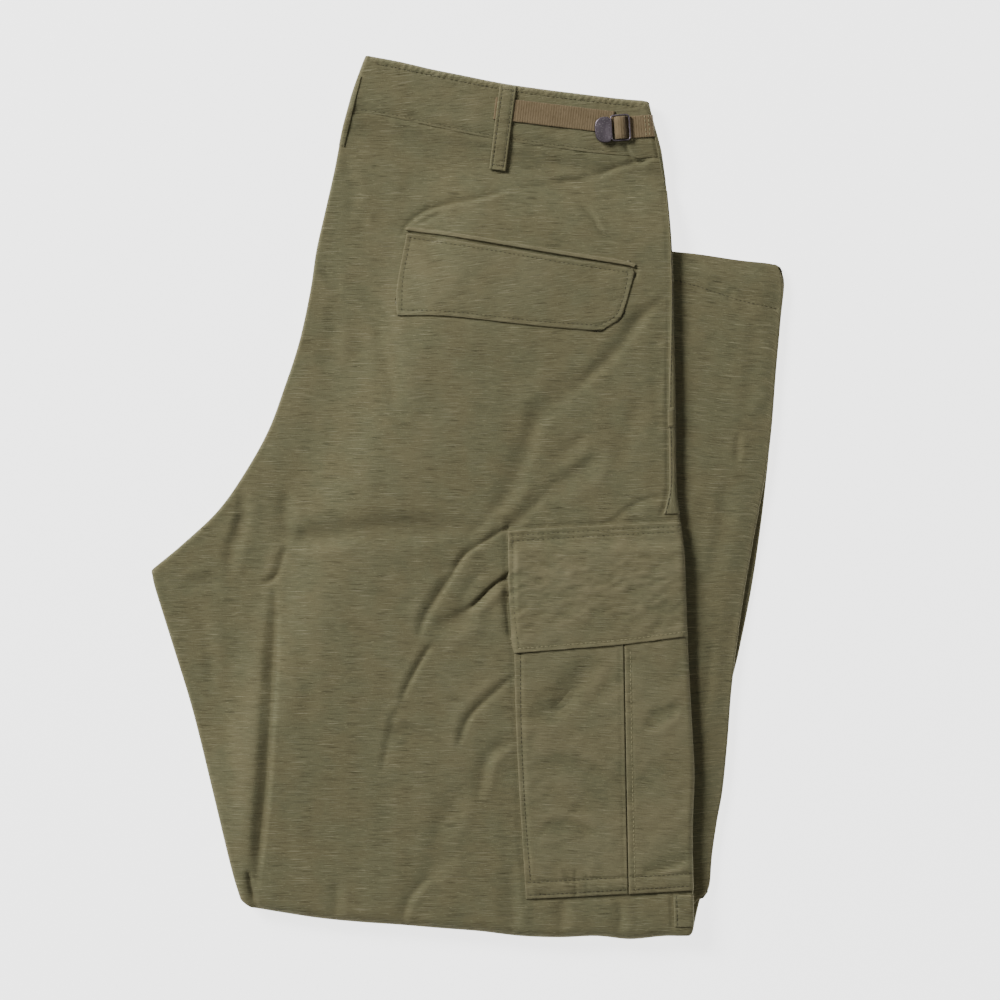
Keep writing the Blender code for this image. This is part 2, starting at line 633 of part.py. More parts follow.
def build_upper():
    """The right back panel's wall, with every outline of what lies on it among its edges."""
    roll, drop, tuck, _, _ = edge_profile()
    band = band_outline()
    loops = [dense(np.array(o, float), 26.0) for o in
             (BACK_FLAP, BACK_LIP, CARGO_FLAP, CARGO_BODY, CARGO_FRONT, SEAM_UPPER, SEAM_LOWER)]
    hem = np.array(LEFT_LEG_HEM)
    over_hem = np.array([hem[2], hem[3], hem[4], hem[5]]) + (0.0, 1.0)
    loops += [dense(band, 26.0), np.vstack([over_hem, over_hem[-2:0:-1]])]
    loops += [strip_outline(line, width) for line, width in
              ((BACK_LOOP, LOOP_WIDTH), (CENTRE_LOOP, LOOP_WIDTH), (SIDE_LOOP, LOOP_WIDTH),
               (SEAM_LOOP, SEAM_LOOP_WIDTH), (STRAP_RUN, STRAP_WIDTH), (STRAP_END, STRAP_WIDTH))]
    shoulder = inset_loop(UPPER, roll)
    taken = np.vstack([shoulder] + loops)
    creases = thin_out(crease_points(CREASES, shoulder, CREASE_STEP, 1.45), 5.0)
    near = np.min(np.linalg.norm(creases[:, None] - taken[None], axis=2), axis=1)
    creases = creases[near > 3.0]
    field = field_points(shoulder, np.vstack([taken, creases]), FIELD_STEP)
    points = np.vstack([creases, field])
    return Wall(UPPER, panel_top, 1, roll, drop, tuck, loops, points)


def band_outline():
    """The waistband from its seam to past the panel's top edge."""
    xs = np.linspace(-100.0, 150.0, 9)
    seam = np.column_stack([xs, waist_line(xs) - BAND_DEPTH])
    return np.vstack([seam, [(150.0, 340.0), (-100.0, 340.0)]])


def build_pieces(panel, olive, brown):
    """Everything sewn on the right back panel, each piece from the panel's points moved out."""
    band, body, front = band_outline(), np.array(CARGO_BODY), np.array(CARGO_FRONT)
    strap_outlines = [strip_outline(line, STRAP_WIDTH) for line in (STRAP_RUN, STRAP_END)]

    def over(points, outline, height):
        """The height of a piece below, on its outline too."""
        loop = np.vstack([outline, outline[:1]])
        near = np.abs(path_distance(points, loop)[0]) < 0.05
        return np.where(inside(points, outline) | near, height + GAP, 0.0)

    def on_panel(points):
        return np.full(len(points), GAP)

    def on_band(points):
        return GAP + over(points, band, BAND)

    def on_strap(points):
        return on_band(points) + over(points, strap_outlines[0], WEBBING)

    def on_seam(points):
        return GAP + over(points, np.array(SEAM_UPPER), FELL)

    def on_pocket(points):
        both = np.maximum(over(points, body, POCKET), over(points, front, POCKET))
        return GAP + both

    def even(thick):
        return lambda points: np.full(len(points), thick)

    def pocket_thick(points):
        relief = np.zeros(len(points))
        for _, depth, half_width, path in POCKET_CREASES:
            dist, along = path_distance(points, path)
            fade = smooth_step(np.minimum(along, 1.0 - along) / 0.3 + 0.2)
            relief += depth * fade * np.exp(-(dist / half_width) ** 2)
        return POCKET - np.minimum(relief, 1.0)

    panel.patch("right_waistband", band, olive, on_panel, even(BAND))
    panel.patch("back_pocket_flap", np.array(BACK_FLAP), olive, on_panel, even(FLAP))
    panel.patch("back_pocket_lip", np.array(BACK_LIP), olive, on_panel, even(LIP))
    panel.patch("cargo_pocket_back", body, olive, on_panel, pocket_thick)
    panel.patch("cargo_pocket_front", front, olive, on_panel, pocket_thick)
    panel.patch("cargo_flap", np.array(CARGO_FLAP), olive, on_pocket, even(FLAP))
    panel.patch("right_side_seam_upper", np.array(SEAM_UPPER), olive, on_panel, even(FELL))
    panel.patch("right_side_seam_lower", np.array(SEAM_LOWER), olive, on_panel, even(FELL))
    panel.patch("seam_loop", strip_outline(SEAM_LOOP, SEAM_LOOP_WIDTH), olive, on_seam, even(LOOP))
    panel.patch("adjuster_strap", strap_outlines[0], brown, on_band, even(WEBBING))
    panel.patch("adjuster_end", strap_outlines[1], brown, on_band, even(WEBBING))
    panel.patch("belt_loop_back", strip_outline(BACK_LOOP, LOOP_WIDTH), olive, on_strap, even(LOOP))
    panel.patch("belt_loop_centre", strip_outline(CENTRE_LOOP, LOOP_WIDTH), olive, on_band, even(LOOP))
    panel.patch("belt_loop_side", strip_outline(SIDE_LOOP, LOOP_WIDTH), olive, on_band, even(LOOP))


def build_buckle(panel, brown, metal):
    """The slide buckle, level on the strap, and the webbing's turn over its bar."""
    turn = math.radians(BUCKLE_TURN)
    ahead = np.array([math.cos(turn), math.sin(turn)])
    across = np.array([-ahead[1], ahead[0]])
    middle = np.array(BUCKLE_BAR)

    def place(rows):
        rows = np.asarray(rows, float)
        return middle + rows[:, :1] * ahead + rows[:, 1:2] * across

    def box(u_low, u_high, width):
        half = width / 2
        return [(u_low, -half), (u_high, -half), (u_high, half), (u_low, half)]

    half = BUCKLE_WIDTH / 2
    angles = np.radians(np.linspace(90.0, 270.0, 9))
    tab = [(-BUCKLE_TAB + 6.0 + 6.0 * math.cos(a), (half - 1.4) * math.sin(a)) for a in angles]
    outer = place([(BUCKLE_END - 1.5, half), (-7.0, half)] + tab
                  + [(-7.0, -half), (BUCKLE_END - 1.5, -half), (BUCKLE_END, -half + 1.5),
                     (BUCKLE_END, half - 1.5)])
    bar = BAR_WIDTH / 2
    slots = [place(box(bar, bar + SLOT_WIDTH, SLOT_LENGTH)),
             place(box(-bar - SLOT_WIDTH, -bar, SLOT_LENGTH))]
    flat, tris = triangulate([outer] + slots, [],
                             lambda c: inside(c, outer) & ~inside(c, slots[0]) & ~inside(c, slots[1]))
    reach = np.linalg.norm(panel.flat - middle, axis=1) < 45.0
    seat = max(panel.height[reach].max(), panel_top(place(box(-12.0, 8.0, 20.0))).max())
    strap = seat + GAP + BAND + GAP + WEBBING
    level = strap + GAP
    count = len(flat)
    slab("adjuster_buckle", flat, tris, np.full(count, level), np.full(count, level + BUCKLE_THICK),
         metal)

    # The webbing's turn is an arch over the bar: its section lies in the plane of the strap's run.
    near, far = bar + GAP, bar + GAP + WEBBING
    top = level + BUCKLE_THICK + GAP
    section = [(-far, strap + GAP), (-near, strap + GAP), (-near, top), (near, top),
               (near, strap + GAP), (far, strap + GAP), (far, top + 0.5 * WEBBING),
               (far - 0.6, top + WEBBING), (-far + 0.6, top + WEBBING), (-far, top + 0.5 * WEBBING)]
    verts = []
    for side in (-STRAP_WIDTH / 2, STRAP_WIDTH / 2):
        for u, z in section:
            verts.append((*(middle + u * ahead + side * across), z))
    size = len(section)
    faces = [tuple(range(size)), tuple(range(2 * size - 1, size - 1, -1))]
    faces += [(k, k + size, (k + 1) % size + size, (k + 1) % size) for k in range(size)]
    new_object("adjuster_turn", verts, faces, brown)


def leg_top(floor, visible):
    """Top of a lower leg: level under the upper stack, fuller in the strip that shows, with its hem."""
    hem = np.array(LEFT_LEG_HEM)[::-1]

    def height(points):
        x, y = points[:, 0], points[:, 1]
        level = np.full(len(points), floor + LEG_THICK)
        if not visible:
            return level
        clear = smooth_step((loop_distance(points, UPPER) - 2.0) / 9.0)
        rim = np.abs(path_distance(points, np.vstack([LEFT_LEG, LEFT_LEG[:1]]))[0])
        swell = LEG_SWELL * smooth_step((rim - 1.4) / 14.0)
        turned = smooth_step((y - np.interp(x, hem[:, 0], hem[:, 1]) + HEM_DEPTH) / 2.0 + 0.5)
        return level + clear * (swell + HEM_RISE * turned)

    return height


def build_leg(name, outline, floor, visible, olive):
    """One leg below the knee: two plies pressed flat, with a slit between them at the hem."""
    count = len(outline)
    slit = np.where((outline[:, 1] > 158.0) & (outline[:, 0] > 5.0), HEM_SLIT, 0.0)
    whole = np.ones(count)
    rings = [(1.4 * whole, 0.0), (0.0 * whole, 0.22), (0.9 + slit, 0.46), (0.9 + slit, 0.54),
             (0.0 * whole, 0.78), (1.4 * whole, 1.0)]
    inner = inset_loop(outline, 6.5)
    points = np.empty((0, 2))
    if visible:
        hem = np.array(LEFT_LEG_HEM)
        lines = [hem - (0.0, HEM_DEPTH - 1.5), hem - (0.0, HEM_DEPTH + 1.5)]
        edge = smooth_line(RIGHT_EDGE, 13.0)
        strip = np.vstack([smooth_line(line, 17.0) for line in lines])
        strip = np.vstack([strip[strip[:, 0] > 168.0], edge + (1.6, 0.0), edge + (10.0, 0.0)])
        shown = np.vstack([strip, field_points(inner, strip, 19.0)])
        shown = shown[inside(shown, inner)]
        points = shown[loop_distance(shown, UPPER) > 1.0]
    points = np.vstack([points, field_points(inner, np.vstack([points, inner]), 90.0)])
    stack(name, outline, rings, lambda p: np.full(len(p), floor), leg_top(floor, visible), points, olive)


def build_left_back(olive):
    """The left back panel: on the floor and over the lower legs, its rim rolled up."""
    _, _, _, seam, clear = edge_profile()
    full = stack_height(UPPER)
    outline = inset_loop(UPPER, clear)
    count = len(outline)
    up = np.where(seam, full - support(UPPER) - SEAM_DROP - GAP - 0.1, EDGE_DROP)
    ramps = [dense(inset_loop(LEG_PAIR, -out), 22.0) for out in (0.5 * RAMP, RAMP)]
    legs = dense(LEG_PAIR, 26.0)
    xs = np.linspace(-100.0, 150.0, 9)
    band = np.vstack([np.column_stack([xs, waist_line(xs) - BAND_DEPTH - 1.0]),
                      [(150.0, 340.0), (-100.0, 340.0)]])
    foot = np.column_stack([xs, waist_line(xs) - BAND_DEPTH - 15.0])
    ring = inset_loop(outline, EDGE_ROLL)
    deep = crease_points([row for row in CREASES if row[1] > CREASE_ROOM], ring, 34.0, DEEP_SPREAD)
    points = np.vstack([deep] + ramps + [foot])
    points = points[inside(points, inset_loop(outline, EDGE_ROLL + 5.0))]
    near = np.min(np.linalg.norm(points[:, None] - np.vstack([legs, band])[None], axis=2), axis=1)
    points = thin_out(points[near > 6.0], 9.0)
    field = field_points(ring, np.vstack([points, legs, ring, band]), 46.0)
    wall = Wall(outline, support, -1, np.full(count, EDGE_ROLL), up, np.zeros(count),
                [legs, dense(band, 30.0)], np.vstack([points, field]))
    wall.build("left_back_panel", olive)
    return wall


def build_left_band(olive):
    """The left half of the waistband, flat on the floor under the left back panel."""
    outline = inset_loop(UPPER, 0.7)
    band = dense(band_outline(), 40.0)
    flat, tris = triangulate([outline, band], [], lambda c: inside(c, outline) & inside(c, band))
    slab("left_waistband", flat, tris, np.zeros(len(flat)), np.full(len(flat), BAND), olive)


def build_hidden(under, olive):
    """Both fronts and the rest that the fold hides: one solid, with a lip for each edge beside another.

    Its caps have the left back panel's own triangles, so it lies evenly on that panel.
    """
    roll, drop, _, seam, clear = edge_profile()
    used, tris = picked(under.flat, under.tris, lambda c: inside(c, under.ring))
    flat = under.flat[used]
    floor = support(flat) + PLY + GAP
    full = floor + fronts(flat) - CREASE_ROOM - deep_creases(flat)
    outline = inset_loop(UPPER, clear)
    wave = 0.25 + 0.25 * np.sin(np.arange(len(UPPER)) * 1.7)
    nested = seam | np.roll(seam, 1) | np.roll(seam, -1)
    columns = np.column_stack([outline, loop_normals(outline), np.where(nested, 1.7, wave),
                               np.where(seam, EDGE_ROLL, EDGE_DROP + GAP + 0.05), roll])
    rim = rim_of(tris)
    at = along_loop(flat[rim], under.ring, columns)
    base, out, lip, rise, roll_at = at[:, 0:2], at[:, 2:4], at[:, 4], at[:, 5], at[:, 6]
    low = support(base - out * EDGE_ROLL) + rise
    top = stack_height(base - out * roll_at[:, None])
    high = top - EDGE_DROP - GAP - 0.25
    middle = (low + high) / 2
    inner = np.full(len(rim), 2.0)
    rings = [(inner, low), (lip, low + 0.1), (lip, middle - 0.15), (lip + 1.4, middle),
             (lip + 0.2, middle + 0.15), (lip + 0.2, high), (inner + 0.8, high)]
    count = len(flat)
    verts = [np.column_stack([flat, full]), np.column_stack([flat, floor])]
    verts += [np.column_stack([base - out * inset[:, None], z]) for inset, z in rings]
    faces = [tuple(t) for t in tris] + [tuple(t + count) for t in tris[:, ::-1]]
    size = len(rim)
    order = [[r + count for r in rim]]
    order += [[2 * count + k * size + j for j in range(size)] for k in range(len(rings))]
    order += [rim]
    for lower, upper in zip(order, order[1:]):
        for k in range(size):
            nxt = (k + 1) % size
            faces.append((lower[k], lower[nxt], upper[nxt], upper[k]))
    new_object("hidden_layers", np.vstack(verts), faces, olive)


def build_garment():
    for old in list(bpy.data.objects):
        bpy.data.objects.remove(old, do_unlink=True)
    olive, brown, metal = ripstop(), webbing(), dark_metal()
    panel = build_upper()
    panel.build("right_back_panel", olive)
    build_pieces(panel, olive, brown)
    build_buckle(panel, brown, metal)
    build_leg("right_lower_leg", RIGHT_LEG, 0.0, False, olive)
    build_leg("left_lower_leg", LEFT_LEG, LEG_THICK + GAP, True, olive)
    build_left_band(olive)
    build_hidden(build_left_back(olive), olive)


build_garment()
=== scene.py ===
# %% [markdown]
# # A pair of cargo trousers, folded flat
#
# The garment is olive cotton, taken to be ripstop. It is folded in half along its centre line with the
# backs outside, then once at the knee, so that both lower legs lie under the upper part. Each cut piece
# is a thin closed shell here: a grid of points worked out by numpy, whose height is a formula of its place
# on the cloth.
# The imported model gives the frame, and each shell takes the place of the plain solid of the same name.

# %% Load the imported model
import math

import bpy
import numpy as np
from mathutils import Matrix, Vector


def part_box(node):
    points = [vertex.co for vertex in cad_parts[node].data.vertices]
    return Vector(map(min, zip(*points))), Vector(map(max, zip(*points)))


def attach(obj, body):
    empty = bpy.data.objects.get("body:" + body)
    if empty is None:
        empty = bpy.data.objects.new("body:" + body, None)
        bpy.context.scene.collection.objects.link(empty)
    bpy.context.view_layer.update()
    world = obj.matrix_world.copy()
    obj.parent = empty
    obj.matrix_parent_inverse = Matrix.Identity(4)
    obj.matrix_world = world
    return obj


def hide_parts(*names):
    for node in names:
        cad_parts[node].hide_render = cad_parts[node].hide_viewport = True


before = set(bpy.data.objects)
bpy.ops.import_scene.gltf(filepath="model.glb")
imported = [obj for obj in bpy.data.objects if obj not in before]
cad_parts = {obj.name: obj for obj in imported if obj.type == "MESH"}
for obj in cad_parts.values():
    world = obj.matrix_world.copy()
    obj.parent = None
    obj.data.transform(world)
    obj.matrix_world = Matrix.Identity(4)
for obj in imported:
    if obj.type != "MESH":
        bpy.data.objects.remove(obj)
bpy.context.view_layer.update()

# %% [markdown]
# ## Sizes
#
# Lengths are in millimetres here and become metres when a mesh is made. +X runs from the centre-back seam
# to the side seam, +Y from the knee fold to the waist and +Z up. The thicknesses come from the cloth: one
# ply is 1.2 mm with its air, and what lies on it is a sewn double ply.

# %% Sizes of the cloth
MM = 0.001
PLY = 1.2                       # one layer of cloth
GAP = 0.3                       # air between two pieces
LEG_LOW, LEG_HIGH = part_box("right_lower_leg")
LEG_THICK = (LEG_HIGH.z - LEG_LOW.z) / MM      # a lower leg pressed flat
UNDER_LEGS = 2 * LEG_THICK + 2 * GAP           # height of the upper stack on the lower legs
FRONTS = 4.6                    # both front panels inside the fold
BAND, BAND_DEPTH = 1.6, 41.0    # waistband: its thickness and its depth
WEBBING, STRAP_WIDTH = 1.3, 16.0
# thickness of the sewn pieces
LOOP, FLAP, SEAT_FLAP, POCKET, FELL, LIP = 1.2, 1.4, 1.05, 2.2, 1.2, 1.3
# the rim: radius of its roll, its whole fall, and how far the centre-back seam lies below the top
EDGE_ROLL, EDGE_DROP, SEAM_DROP = 2.4, 2.9, 3.6
# the knee fold: radius of its roll, how far it turns under, its lowest point, and where the others stop
KNEE_ROLL, KNEE_TUCK, KNEE_FLOOR, KNEE_CLEAR = 6.5, 4.4, 0.35, 5.2
CREASE_ROOM = 2.6               # kept free under the top panel for its creases
RAMP, BAND_RAMP = 60.0, 14.0    # the slope beside the legs, and beside the left waistband
HEM_DEPTH = 21.0                # the turned hem
PANEL_WIDE, PANEL_LONG = 300.0, 620.0          # mean width and length of a back panel as it lies
LEG_WIDE, LEG_LONG = 240.0, 470.0              # the same of a lower leg
print("stack lies", round(UNDER_LEGS, 2), "mm up on the lower legs")

# %% [markdown]
# ## The outline
#
# A garment's outline is drawn as a pattern cutter draws it: a few points on each edge with a smooth line
# through them. The upper stack has four edges: the knee fold, the side seam, the waist and the centre-back
# seam, which turns at the crotch point and goes on as the inseam.

# %% Points on the edges
KNEE_EDGE = (
    (-156.6, -294.8), (-135.0, -298.4), (-106.2, -302.8), (-77.4, -305.6), (-48.6, -307.6),
    (-19.8, -310.0), (9.0, -312.2), (37.8, -315.6), (66.6, -316.6), (93.0, -315.6), (117.0, -317.9),
    (140.0, -315.8), (160.5, -315.2))
SIDE_EDGE = (
    (162.6, -311.0), (162.4, -282.0), (161.6, -239.4), (163.1, -196.2), (160.2, -145.8),
    (158.0, -99.7), (155.9, -40.7), (152.6, -13.0), (150.1, 8.0), (149.4, 70.2), (148.0, 142.2),
    (147.2, 178.2), (143.6, 221.4), (139.3, 250.2), (134.0, 270.0), (130.4, 284.0))
WAIST_EDGE = (
    (-73.0, 318.2), (-69.0, 317.4), (-48.6, 313.6), (-27.0, 308.5), (-5.4, 304.2), (23.4, 298.4),
    (52.2, 294.1),
    (81.0, 290.5), (109.8, 287.0), (127.0, 285.6))
BACK_EDGE = (
    (-163.0, -290.0), (-169.6, -268.2), (-184.0, -210.6), (-198.4, -153.0), (-211.5, -110.0),
    (-225.0, -66.6), (-227.2, -56.6), (-228.0, -52.9), (-225.3, -50.0), (-206.0, -34.0), (-179.6, -9.0),
    (-159.5, 19.8), (-143.6, 48.6),
    (-132.8, 77.4), (-121.5, 112.0), (-113.4, 149.4), (-109.1, 178.2), (-102.6, 207.0),
    (-96.1, 235.8), (-90.4, 264.6), (-82.4, 293.4), (-74.6, 315.0), (-73.2, 318.2))
LEFT_LEG_OUTER = (
    (157.0, -306.0), (163.0, -293.4), (170.5, -287.0), (174.6, -279.0), (176.4, -258.0), (180.0, -233.0),
    (184.0, -210.6), (187.6, -174.6), (190.4, -138.6), (194.8, -101.9), (199.8, -67.3), (207.0, -26.3),
    (214.9, 16.2), (219.2, 48.6), (222.6, 91.8), (225.6, 125.0), (227.6, 150.0), (226.6, 160.0))
LEFT_LEG_HEM = (
    (10.4, 192.6), (50.0, 188.4), (95.4, 183.2), (147.2, 177.5), (167.4, 175.3), (196.2, 171.0),
    (219.0, 168.4), (224.6, 164.6))
RIGHT_LEG_OUTER = (
    (163.5, -309.0), (166.9, -293.4), (171.0, -279.0), (175.0, -252.0), (181.6, -212.0),
    (186.0, -174.6), (189.7, -138.6), (196.2, -109.8), (204.8, -66.6), (211.3, -23.4), (216.4, 19.8),
    (219.0, 48.6), (222.2, 91.8), (226.0, 128.0), (228.6, 152.0), (227.9, 160.5))
RIGHT_LEG_HEM = (
    (13.0, 189.6), (95.4, 180.0), (147.2, 174.0), (196.2, 169.2), (222.4, 168.2), (226.4, 164.8))
LEG_INNER = ((-152.0, -262.0), (-138.6, -203.4), (-106.2, -109.8), (-63.0, 12.6), (-19.8, 120.6),
             (0.0, 160.0))

print("points on the four edges:", [len(e) for e in (KNEE_EDGE, SIDE_EDGE, WAIST_EDGE, BACK_EDGE)])

# %% [markdown]
# ## Plane geometry
#
# Everything below is built from three questions about a point on the table: how far is it from a line, on
# which side, and is it inside a loop. Each is answered for whole arrays of points at once.

# %% Curves, distances and a soft step
def run_along(line):
    """The length from the first point to each point."""
    return np.concatenate([[0.0], np.cumsum(np.linalg.norm(np.diff(line, axis=0), axis=1))])


def smooth_line(rows, step):
    """A Catmull-Rom curve through the rows, read about a step apart along its length."""
    rows = np.asarray(rows, float)
    ends = np.vstack([2 * rows[0] - rows[1], rows, 2 * rows[-1] - rows[-2]])
    t = np.linspace(0.0, 1.0, 12, endpoint=False)[:, None, None]
    p0, p1, p2, p3 = (ends[k:k + len(rows) - 1] for k in range(4))
    curve = 0.5 * (2 * p1 + (p2 - p0) * t + (2 * p0 - 5 * p1 + 4 * p2 - p3) * t ** 2
                   + (3 * p1 - p0 - 3 * p2 + p3) * t ** 3)
    fine = np.vstack([curve.transpose(1, 0, 2).reshape(-1, 2), rows[-1:]])
    run = run_along(fine)
    at = np.linspace(0.0, run[-1], max(2, int(round(run[-1] / step)) + 1))
    return np.column_stack([np.interp(at, run, fine[:, 0]), np.interp(at, run, fine[:, 1])])


def from_path(x, y, path):
    """Signed distance to a path, positive on its left, the length along it, and the way out from it.

    For each stretch the nearest place is the foot of the perpendicular, held between its ends; the
    nearest stretch wins.
    """
    path = np.asarray(path, float)
    best = np.full(np.shape(x), 1e9)
    side = np.ones_like(best)
    at, out_x, out_y = np.zeros_like(best), np.zeros_like(best), np.zeros_like(best)
    for a, b, start in zip(path[:-1], path[1:], run_along(path)):
        d = b - a
        size = max(math.hypot(*d), 1e-9)
        t = np.clip(((x - a[0]) * d[0] + (y - a[1]) * d[1]) / size ** 2, 0.0, 1.0)
        off_x, off_y = x - a[0] - t * d[0], y - a[1] - t * d[1]
        dist = np.hypot(off_x, off_y)
        near = dist < best
        best = np.where(near, dist, best)
        side = np.where(near, np.where(d[0] * off_y - d[1] * off_x < 0.0, -1.0, 1.0), side)
        at = np.where(near, start + t * size, at)
        out_x, out_y = np.where(near, off_x, out_x), np.where(near, off_y, out_y)
    size = np.maximum(best, 1e-6)
    return best * side, at, out_x / size, out_y / size


# %% [markdown]
# A closed outline asks one more question: is the point in it. The answer gives the distance its sign.

# %% Inside and outside a loop
def inside(x, y, loop):
    """Whether each point is in the closed loop: a ray from it crosses the loop an odd number of times."""
    hit = np.zeros(np.shape(x), bool)
    for (x1, y1), (x2, y2) in zip(loop, np.roll(loop, -1, axis=0)):
        if y1 != y2:
            hit ^= ((y1 > y) != (y2 > y)) & (x < (x2 - x1) * (y - y1) / (y2 - y1) + x1)
    return hit


def to_loop(x, y, loop):
    """Distance to a closed loop, negative inside it."""
    dist = np.abs(from_path(x, y, np.vstack([loop, loop[:1]]))[0])
    return np.where(inside(x, y, loop), -dist, dist)


# %% [markdown]
# These helpers come back in every cell below. The soft step blends one height into another, and a field
# that is worked out once on a coarse grid saves asking for the same distances again.

# %% Small helpers and a distance field
def near_line(x, y, line, reach):
    """Which points lie in the line's box, made larger by a reach."""
    low, high = line.min(axis=0) - reach, line.max(axis=0) + reach
    return (x > low[0]) & (x < high[0]) & (y > low[1]) & (y < high[1])


def unit(vectors):
    """The vectors at length one."""
    return vectors / np.maximum(np.linalg.norm(vectors, axis=-1, keepdims=True), 1e-9)


def numbers(*shape):
    """The numbers from 0 on, laid out as a grid."""
    return np.arange(math.prod(shape)).reshape(shape)


def smooth_step(t):
    """0 to 1 as t goes from 0 to 1, level at both ends: 3t^2 - 2t^3."""
    t = np.clip(t, 0.0, 1.0)
    return t * t * (3.0 - 2.0 * t)


def distance_field(loop, margin=45.0, cell=1.25):
    """to_loop for one loop, worked out once on a square grid and read between its points afterwards."""
    low, high = loop.min(axis=0) - margin, loop.max(axis=0) + margin
    count = np.ceil((high - low) / cell).astype(int) + 1
    gx, gy = np.meshgrid(*(low[k] + cell * np.arange(count[k]) for k in (0, 1)), indexing="ij")
    field = to_loop(gx, gy, loop)

    def read(x, y):
        s = np.clip((x - low[0]) / cell, 0, count[0] - 1.001)
        t = np.clip((y - low[1]) / cell, 0, count[1] - 1.001)
        i, j = s.astype(int), t.astype(int)
        s, t = s - i, t - j
        return ((field[i, j] * (1 - s) + field[i + 1, j] * s) * (1 - t)
                + (field[i, j + 1] * (1 - s) + field[i + 1, j + 1] * s) * t)

    return read


# %% [markdown]
# Cloth is never even. The small unevenness comes from one kind of soft noise: random heights at the corners
# of a square lattice, blended between them. Stretched and turned, it gives swells that run one way.

# %% Soft noise
def soft_noise(u, v, seed):
    """Smooth hills between -1 and 1, a unit apart: seeded lattice heights blended by the soft step."""
    heights = np.random.default_rng(seed).uniform(-1.0, 1.0, (61, 61))
    i, j = np.floor(u).astype(int), np.floor(v).astype(int)
    s, t = smooth_step(u - i), smooth_step(v - j)
    near = heights[i % 61, j % 61] * (1 - s) + heights[(i + 1) % 61, j % 61] * s
    far = heights[i % 61, (j + 1) % 61] * (1 - s) + heights[(i + 1) % 61, (j + 1) % 61] * s
    return near * (1 - t) + far * t


def swell(x, y, angle, length, width, seed):
    """Soft noise stretched to hills of that length and width, whose length runs at the angle from +X."""
    c, s = math.cos(math.radians(angle)), math.sin(math.radians(angle))
    return soft_noise((x * c + y * s) / length, (y * c - x * s) / width, seed)


# %% [markdown]
# ## What the cloth lies on
#
# A folded garment is a small landscape: the lower legs are a step 7 mm high, and the upper stack falls from
# it to the table over a soft ramp. The front panels inside the fold add their own thickness.

# %% Heights of the stack
def closed(*edges):
    """One loop from edges in turn."""
    return np.vstack([smooth_line(edge, 6.0) for edge in edges])


UPPER = closed(KNEE_EDGE, SIDE_EDGE, WAIST_EDGE[::-1], BACK_EDGE[::-1])
KNEE_INSIDE = [(x, y + KNEE_CLEAR) for x, y in KNEE_EDGE[1:-2]]
LEG_LOOP = closed(LEFT_LEG_OUTER, LEFT_LEG_HEM[::-1], LEG_INNER[::-1], KNEE_INSIDE)
to_upper, to_legs = distance_field(UPPER), distance_field(LEG_LOOP, cell=2.5)


def edge_y(x, edge):
    """The y of an edge at each x."""
    rows = np.array(edge)
    return np.interp(x, rows[:, 0], rows[:, 1])


def below_waist(x, y):
    """How far each point lies below the waist edge."""
    return edge_y(x, WAIST_EDGE) - y


def on_legs(x, y):
    """1 over the lower legs, falling to 0 over the ramp beside them."""
    return smooth_step(1.0 - (to_legs(x, y) - 1.0) / RAMP)


def support(x, y):
    """Height of what the upper stack lies on: the lower legs, the left waistband or the table."""
    band = (BAND + GAP) * smooth_step(1.0 - (below_waist(x, y) - BAND_DEPTH - 2.0) / BAND_RAMP)
    return np.maximum(UNDER_LEGS * on_legs(x, y), band)


def fullness(x, y):
    """Thickness of both front panels: fuller over the legs, at the knee fold and at the waist."""
    knee = smooth_step(1.0 - (y - edge_y(x, KNEE_EDGE)) / 70.0)
    band = smooth_step(1.0 - (below_waist(x, y) - BAND_DEPTH) / 30.0)
    waves = 0.35 * np.sin(x / 31.0 + 0.7) * np.sin(y / 47.0) + 0.25 * np.sin((x + y) / 38.0 + 1.9)
    return FRONTS + 1.2 * on_legs(x, y) + 1.4 * knee + 1.2 * band + waves


def stack_height(x, y):
    """Top of the upper stack before its creases: support, two back plies and the fronts between them."""
    return support(x, y) + fullness(x, y) + 2 * (PLY + GAP)


print("stack at the thigh:", stack_height(np.array([60.0]), np.array([-60.0])).round(2), "mm")

# %% [markdown]
# ## The creases
#
# Pressed cotton keeps every crease it is folded into, so they are placed one by one. A crease is a groove
# along a path with a ridge beside it. It leans, so that one wall is steeper, as where cloth rides over
# itself, and the cloth beside it is drawn in towards it. A simulated drape would give other creases.

